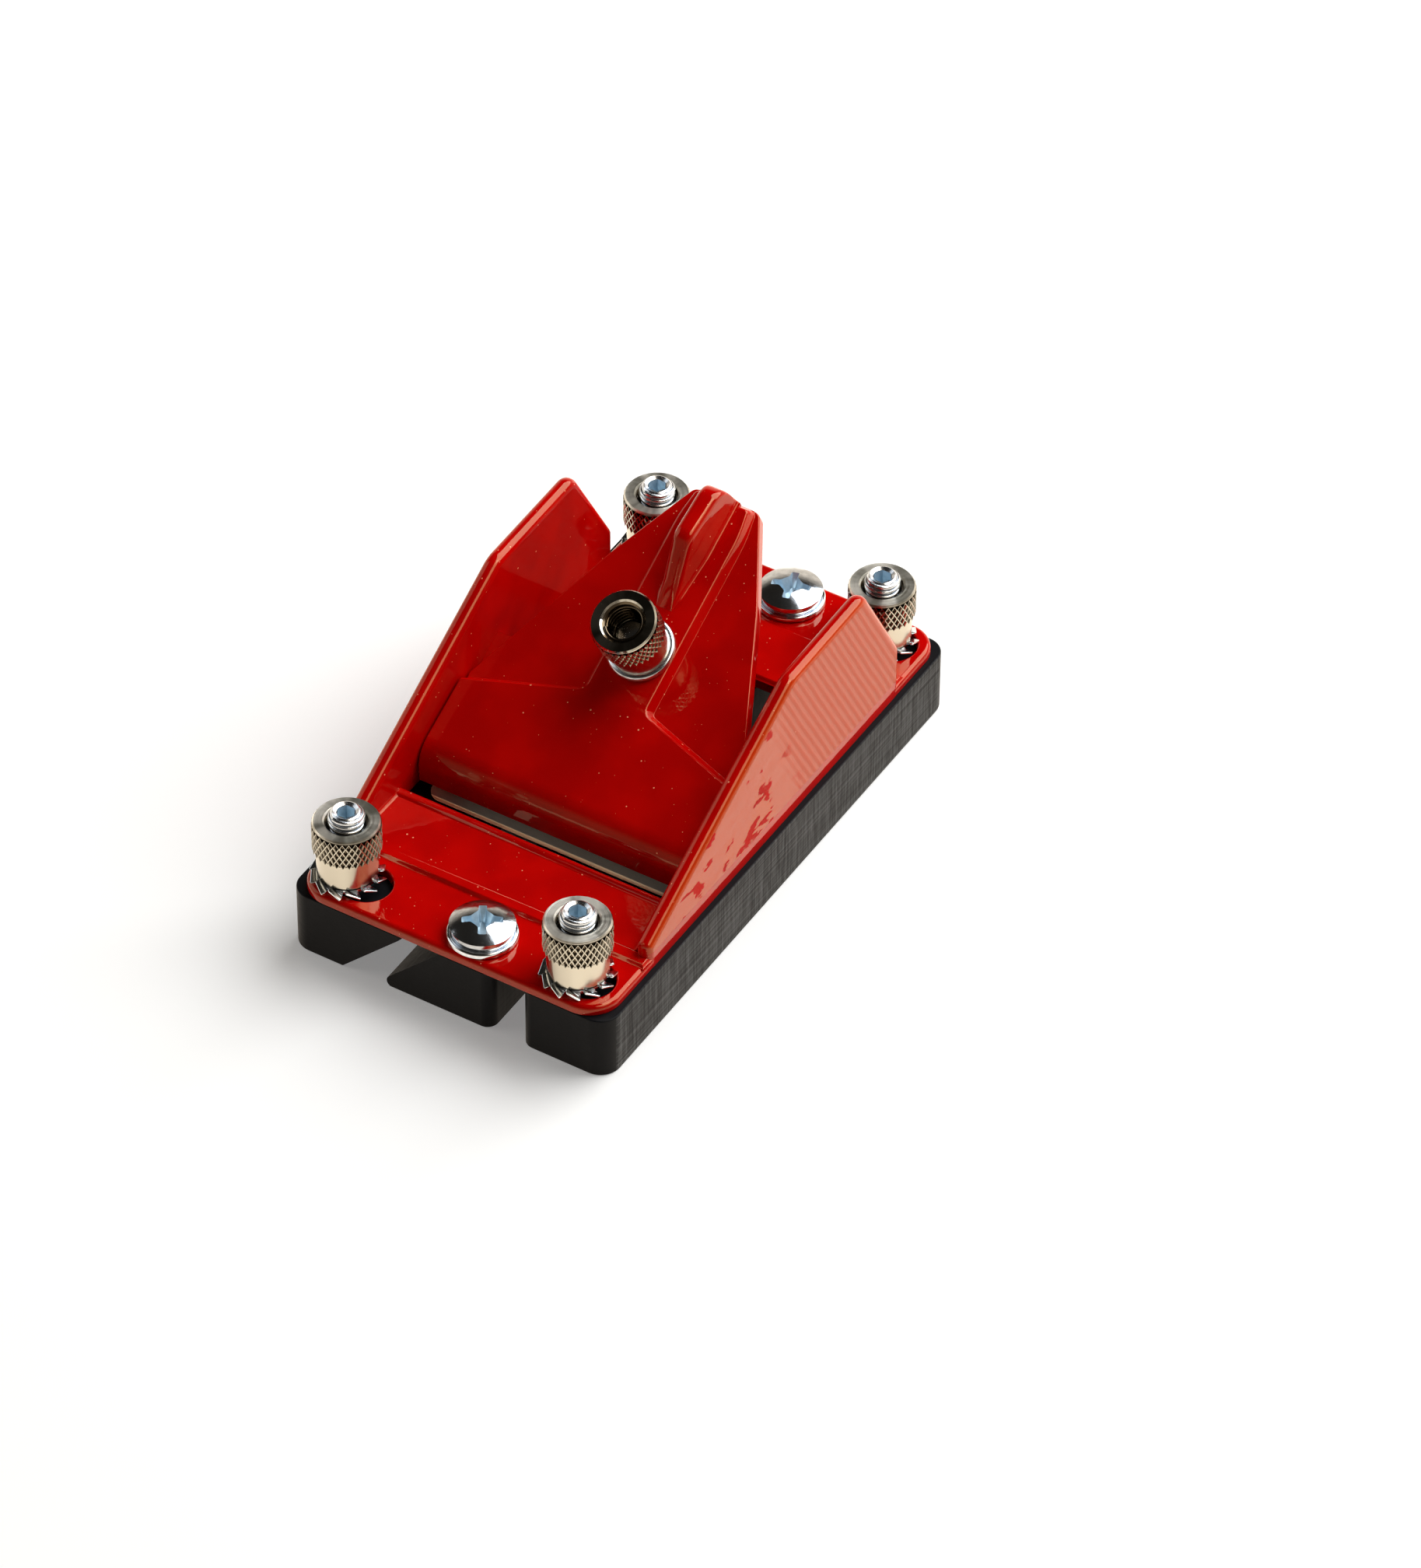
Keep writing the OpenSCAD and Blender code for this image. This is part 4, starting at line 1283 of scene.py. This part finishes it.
class CHAMFER_OT_nuts(bpy.types.Operator):
    """Makes the five knurled nuts"""
    bl_idname = "chamfer.nuts"
    bl_label = "Knurled nuts"

    def execute(self, context):
        knurl = knurl_tree()
        pit = pit_shape()
        for index, corner in enumerate(CORNERS):
            place = middle(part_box(corner + "_nut"))
            plating = nickel("nickel_" + corner, place, seed=index)
            nut = knurled_nut(corner + "_knob_body", plating, knurl, pit)
            shift(nut, place @ Matrix.Rotation(NUT_TURN * index, 4, "Z"))
            dress(nut, corner + "_nut", corner + "_knob")
        place = on_stud(SPINE_H + CAP_WASHER_T)
        bright = nickel("nickel_cap", place, 0.1)
        nut = knurled_nut("cap_knob_body", bright, knurl, pit)
        add_thread(nut, thread_tree(), BORE_TURNS, BORE_R, 0.4 * MM, bright)
        shift(nut, place)
        dress(nut, "cap_nut", "cap_knob")
        bpy.data.objects.remove(pit)
        return {"FINISHED"}


class CHAMFER_OT_set_screws(bpy.types.Operator):
    """Makes the four set screws, the stud and the cap's washer"""
    bl_idname = "chamfer.set_screws"
    bl_label = "Set screws and stud"

    def execute(self, context):
        look = settings("metal")
        bright = zinc("zinc", look.zinc, 0.16)
        blue = zinc("zinc_recess", look.blue_zinc, 0.18, 0.4)
        thread = thread_tree()
        for corner in CORNERS:
            screw = self.set_screw(corner + "_stud_body", bright, blue, thread)
            shift(screw, middle(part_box(corner + "_set_screw")))
            guide = corner.split("_")[0] + "_guide"
            dress(screw, corner + "_set_screw", guide)
        self.stud(bright, thread)
        self.cap_washer(bright)
        return {"FINISHED"}

    def set_screw(self, name, bright, blue, thread):
        """One set screw with a hexagonal socket, upright at the origin."""
        length, radius = SCREW_LENGTH, SCREW_RADIUS - 0.05 * MM
        bottom = length - THREAD_FLAT
        screw = lathe(name, [
            (0, 0), (SCREW_RADIUS - 0.8 * MM, 0), (radius, 0.8 * MM), (radius, bottom),
            (CORE_R, bottom + 0.1 * MM), (CORE_R, length - 0.45 * MM),
            (CORE_R - 0.05 * MM, length - 0.3 * MM), (CORE_R - 0.28 * MM, length - 0.06 * MM),
            (CORE_R - 0.4 * MM, length),
            (SINK_R, length - SINK_D), (0, length - SINK_D)], 48, bright)
        hexagon = circle(SOCKET_W / 2 / math.cos(math.pi / 6), 6)
        socket = prism("socket", plan, hexagon, length - SOCKET_D, length + MM)
        socket.data.materials.append(blue)
        combine(screw, [socket], "DIFFERENCE")
        smooth(screw, 30)
        ridge = lathe("ridge_seed", [(0, bottom), (0.1 * MM, bottom), (0, bottom - MM)], 3)
        add_thread(ridge, thread, SCREW_TURNS, CORE_R, bottom, bright, SCREW_THREAD)
        join_meshes(screw, ridge)
        return screw

    def stud(self, bright, thread):
        """The stud that the cap's nut runs on."""
        top = STUD_TOP
        stud = lathe("stud_body", [
            (0, STUD_LOW), (SCREW_RADIUS, STUD_LOW), (SCREW_RADIUS, SPINE_H - 0.5 * MM),
            (CORE_R, SPINE_H - 0.4 * MM), (CORE_R, top - 0.3 * MM), (CORE_R - 0.3 * MM, top), (0, top)],
            48, bright)
        smooth(stud, 30)
        add_thread(stud, thread, STUD_TURNS, CORE_R, SPINE_H, bright, SCREW_THREAD)
        shift(stud, on_stud(0))
        dress(stud, "cap_stud", "plane")

    def cap_washer(self, bright):
        """The flat washer between the cap and its nut."""
        inner, outer, thick = PLAIN_HOLE_R, CAP_WASHER_R, CAP_WASHER_T
        washer = lathe("cap_washer_body", [
            (inner, 0), (outer - 0.2 * MM, 0), (outer, 0.12 * MM), (outer, thick - 0.35 * MM),
            (outer - 0.1 * MM, thick - 0.12 * MM), (outer - 0.3 * MM, thick), (inner, thick)], 72, bright)
        smooth(washer, 40)
        shift(washer, on_stud(SPINE_H))
        dress(washer, "cap_washer", "cap")


def washer_tooth(bright):
    """A slat that lies along the ring, twisted about the radius."""
    cosine, sine = math.cos(TOOTH_TWIST), math.sin(TOOTH_TWIST)
    bm = bmesh.new()
    rings = []
    for x, narrow in ((-0.3 * MM, 0.8), (0.2 * MM, 1.0), (0.8 * MM, 1.0), (0.92 * MM, 0.85)):
        ring = []
        for u, v in ((-1, -1), (1, -1), (1, 1), (-1, 1)):
            y = u * TOOTH_HALF * narrow
            z = v * TOOTH_THICK * (1 if narrow == 1 else 0.8)
            ring.append(bm.verts.new((x + TOOTH_SPLAY * y, y * cosine - z * sine, y * sine + z * cosine)))
        rings.append(ring)
    bridge(bm, rings)
    tooth = add_piece("tooth", bm, bright)
    bevel = tooth.modifiers.new("edges", "BEVEL")
    bevel.width = 0.05 * MM
    bevel.segments = 2
    finish_normals(tooth)
    return tooth


class CHAMFER_OT_washers(bpy.types.Operator):
    """Makes the four lock washers"""
    bl_idname = "chamfer.washers"
    bl_label = "Lock washers"

    def execute(self, context):
        bright = zinc("zinc_washer", settings("metal").zinc, 0.1)
        tooth = washer_tooth(bright)
        teeth = ring_tree()
        inner, outer, half = PLAIN_HOLE_R, LOCK_R, LOCK_HALF
        for index, corner in enumerate(CORNERS):
            ring = lathe(corner + "_lock_body", [
                (inner, -half), (outer, -half), (outer + 0.05 * MM, 0), (outer, half), (inner, half)],
                48, bright)
            smooth(ring, 30)
            run_tree(ring, teeth, Tooth=tooth, Count=TEETH, Radius=outer, Material=bright)
            turn = Matrix.Rotation(LOCK_START + LOCK_TURN * index, 4, "Z")
            shift(ring, middle(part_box(corner + "_washer"), LOCK_Z) @ turn)
            dress(ring, corner + "_washer", corner + "_lock")
        bpy.data.objects.remove(tooth)
        return {"FINISHED"}


def cross(arm, half, blend):
    """Outline of a cross with hollow corners."""
    corners = []
    for cosine, sine in ((1, 0), (0, 1), (-1, 0), (0, -1)):
        for u, v, radius in (
                (arm, -half, CROSS_R), (arm, half, CROSS_R), (half + blend, half, blend * 0.6),
                (half, half + blend, blend * 0.6)):
            corners.append((u * cosine - v * sine, u * sine + v * cosine, radius))
    return rounded(corners, 4)


def cross_cutter(blue):
    """A cross whose arms run inwards and narrow downwards."""
    top = PAN_HIGH[2] - DECK + CROSS_OVER
    cutter = prism("cross", plan, cross(*CROSS_FOOT), top - CROSS_D, top, cross(*CROSS_MOUTH))
    cutter.data.materials.append(blue)
    return cutter


class CHAMFER_OT_pan_screws(bpy.types.Operator):
    """Makes the two cross-recessed pan head screws"""
    bl_idname = "chamfer.pan_screws"
    bl_label = "Pan head screws"

    def execute(self, context):
        bright = zinc("zinc_pan", settings("metal").zinc, 0.07)
        blue = bpy.data.materials["zinc_recess"]
        radius = (PAN_HIGH[0] - PAN_LOW[0]) / 2
        low, height = PAN_LOW[2] - DECK, PAN_HIGH[2] - DECK
        crown = height - PAN_RIM
        ball = (radius * radius + crown * crown) / (2 * crown)
        arc = [math.asin(radius / ball) * (1 - step / ARC_STEPS) for step in range(1, ARC_STEPS + 1)]
        dome = rounded([
            (0, low, 0), (SCREW_RADIUS, low, 0), (SCREW_RADIUS, 0, 0), (radius - 0.2 * MM, 0, 0),
            (radius, 0.25 * MM, 0), (radius, PAN_RIM, 0.3 * MM)], 6)
        dome += [Vector((ball * math.sin(angle), height - ball + ball * math.cos(angle))) for angle in arc]
        for node, turn in PAN_TURNS.items():
            screw = lathe(node + "_head", dome, 96, bright)
            combine(screw, [cross_cutter(blue)], "DIFFERENCE")
            smooth(screw, 32)
            shift(screw, middle(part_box(node), DECK) @ Matrix.Rotation(math.radians(turn), 4, "Z"))
            dress(screw, node, "plane")
        return {"FINISHED"}


# The stage

def lamp(name, power, size, place):
    """A soft square lamp that shines at the tool."""
    data = bpy.data.lights.new(name, "AREA")
    data.energy = power
    data.shape = "RECTANGLE"
    data.size = data.size_y = size
    piece = bpy.data.objects.new(name, data)
    piece.location = place
    piece.rotation_mode = "QUATERNION"
    piece.rotation_quaternion = (Vector((0, 0, 0.01)) - Vector(place)).to_track_quat("-Z", "Y")
    bpy.context.scene.collection.objects.link(piece)


def studio_world():
    """A pale band round the horizon and a bright panel that only reflections see. The camera sees white."""
    world = bpy.data.worlds.new("studio")
    world.use_nodes = True
    bpy.context.scene.world = world
    graph = Graph(world.node_tree)
    background = next(node for node in world.node_tree.nodes if node.type == "BACKGROUND")
    x, y, z = graph.parts(graph.add("ShaderNodeTexCoord")["Generated"])
    low = 1 - z.ramp(0.22, 0.58)
    behind = (y * 0.87 - x * 0.5).ramp(-0.3, 0.6)
    panel = (x * 0.58 + z * 0.81).ramp(0.93, 0.97)
    path = graph.add("ShaderNodeLightPath")
    seen = path["Is Camera Ray"]
    level = low * (0.3 + behind * 0.6) + 0.015 + panel * path["Is Glossy Ray"] * settings("stage").panel
    graph.feed(background.inputs["Color"], graph.blend(seen, (1.0, 0.85, 0.68), (1.0, 1.0, 1.0)))
    graph.feed(background.inputs["Strength"], level * (1 - seen) + seen)


def floor_paint():
    """A pale floor that the camera sees as white where it is lit, with a painted shadow well under the tool:
    dark grey and without glow.
    """
    paint = Paint("floor_paint", roughness=0.6, specular_ior_level=0.2)
    path = paint.add("ShaderNodeLightPath")
    camera, mirrored = path["Is Camera Ray"], path["Is Glossy Ray"]
    x, y, _ = paint.axes()
    beside = x.math("ABSOLUTE").ramp(HALF_WIDTH - 10 * MM, HALF_WIDTH - 6 * MM)
    before = y.math("ABSOLUTE").ramp(HALF_LENGTH - 24 * MM, HALF_LENGTH - 14 * MM)
    # Outside the tool's footprint; inside it the floor gets a painted shadow, dark grey and without glow.
    clear = beside.math("MAXIMUM", before)
    pale = paint.blend(mirrored, (0.82, 0.82, 0.81), (0.86, 0.77, 0.66))
    paint.set("Base Color", paint.blend(clear, (0.08, 0.08, 0.08), pale))
    glow = paint.blend(mirrored, (1, 1, 1), (1.0, 0.88, 0.74))
    paint.set("Emission Color", paint.blend(clear, (0, 0, 0), glow))
    paint.set("Emission Strength", camera * 0.22 + mirrored * 0.55)
    return paint.material


class CHAMFER_OT_stage(bpy.types.Operator):
    """Makes the camera, the lamps, the room and the floor"""
    bl_idname = "chamfer.stage"
    bl_label = "Stage"

    def execute(self, context):
        self.camera()
        look = settings("stage")
        lamp("key", look.key, 1.2, (0.42, 0.68, 0.92))
        lamp("fill", look.fill, 0.6, (-0.75, -0.25, 0.45))
        studio_world()
        half = 4.0
        bm = bmesh.new()
        bm.faces.new([
            bm.verts.new((x, y, -0.02 * MM)) for x, y, _ in oblong((-half, -half), (half, half))])
        floor = add_piece("floor", bm, floor_paint())
        context.scene.view_settings.view_transform = "Standard"
        return {"FINISHED"}

    def camera(self):
        """The camera of the photograph, solved from the tool's right angles."""
        look = settings("stage")
        azimuth, elevation = look.azimuth, look.elevation
        back = Vector((
            math.sin(azimuth) * math.cos(elevation), -math.cos(azimuth) * math.cos(elevation),
            math.sin(elevation)))
        right = Vector((math.cos(azimuth), math.sin(azimuth), 0))
        up = back.cross(right)
        leaning = right * math.cos(look.roll) + up * math.sin(look.roll)
        upright = up * math.cos(look.roll) - right * math.sin(look.roll)
        data = bpy.data.cameras.new("camera")
        data.lens = look.focal_pixels / PHOTO_HEIGHT * SENSOR
        data.sensor_width = SENSOR
        data.clip_start = 0.05
        data.clip_end = 20
        camera = bpy.data.objects.new("camera", data)
        frame_of_view = Matrix((leaning, upright, back)).transposed().to_4x4()
        camera.matrix_world = Matrix.Translation(Vector(look.aim) + back * look.distance) @ frame_of_view
        bpy.context.scene.collection.objects.link(camera)
        bpy.context.scene.camera = camera


class CHAMFER_PT_panel(bpy.types.Panel):
    """Lists the steps that build the tool"""
    bl_idname = "CHAMFER_PT_panel"
    bl_label = "Chamfering tool"
    bl_space_type = "VIEW_3D"
    bl_region_type = "UI"
    bl_category = "Chamfering tool"

    def draw(self, context):
        for step in STEPS:
            self.layout.operator(step.bl_idname)
        for name in GROUPS:
            group = getattr(context.scene, "chamfer_" + name)
            box = self.layout.box()
            for prop in group.bl_rna.properties:
                if prop.identifier not in ("name", "rna_type"):
                    box.prop(group, prop.identifier)


GROUPS = {
    "enamel": EnamelSettings,
    "metal": MetalSettings,
    "knurl": KnurlSettings,
    "threads": ThreadSettings,
    "stage": StageSettings,
}
STEPS = (
    CHAMFER_OT_stage,
    CHAMFER_OT_casting,
    CHAMFER_OT_lever_cap,
    CHAMFER_OT_guide_bars,
    CHAMFER_OT_blade,
    CHAMFER_OT_nuts,
    CHAMFER_OT_set_screws,
    CHAMFER_OT_washers,
    CHAMFER_OT_pan_screws,
)


def register():
    for name, group in GROUPS.items():
        bpy.utils.register_class(group)
        setattr(bpy.types.Scene, "chamfer_" + name, PointerProperty(type=group))
    for step in STEPS + (CHAMFER_PT_panel,):
        bpy.utils.register_class(step)


def unregister():
    for step in reversed(STEPS + (CHAMFER_PT_panel,)):
        bpy.utils.unregister_class(step)
    for name, group in reversed(GROUPS.items()):
        delattr(bpy.types.Scene, "chamfer_" + name)
        bpy.utils.unregister_class(group)


def main():
    """Builds everything in order."""
    register()
    for step in STEPS:
        group, action = step.bl_idname.split(".")
        getattr(getattr(bpy.ops, group), action)()


if __name__ == "__main__":
    main()
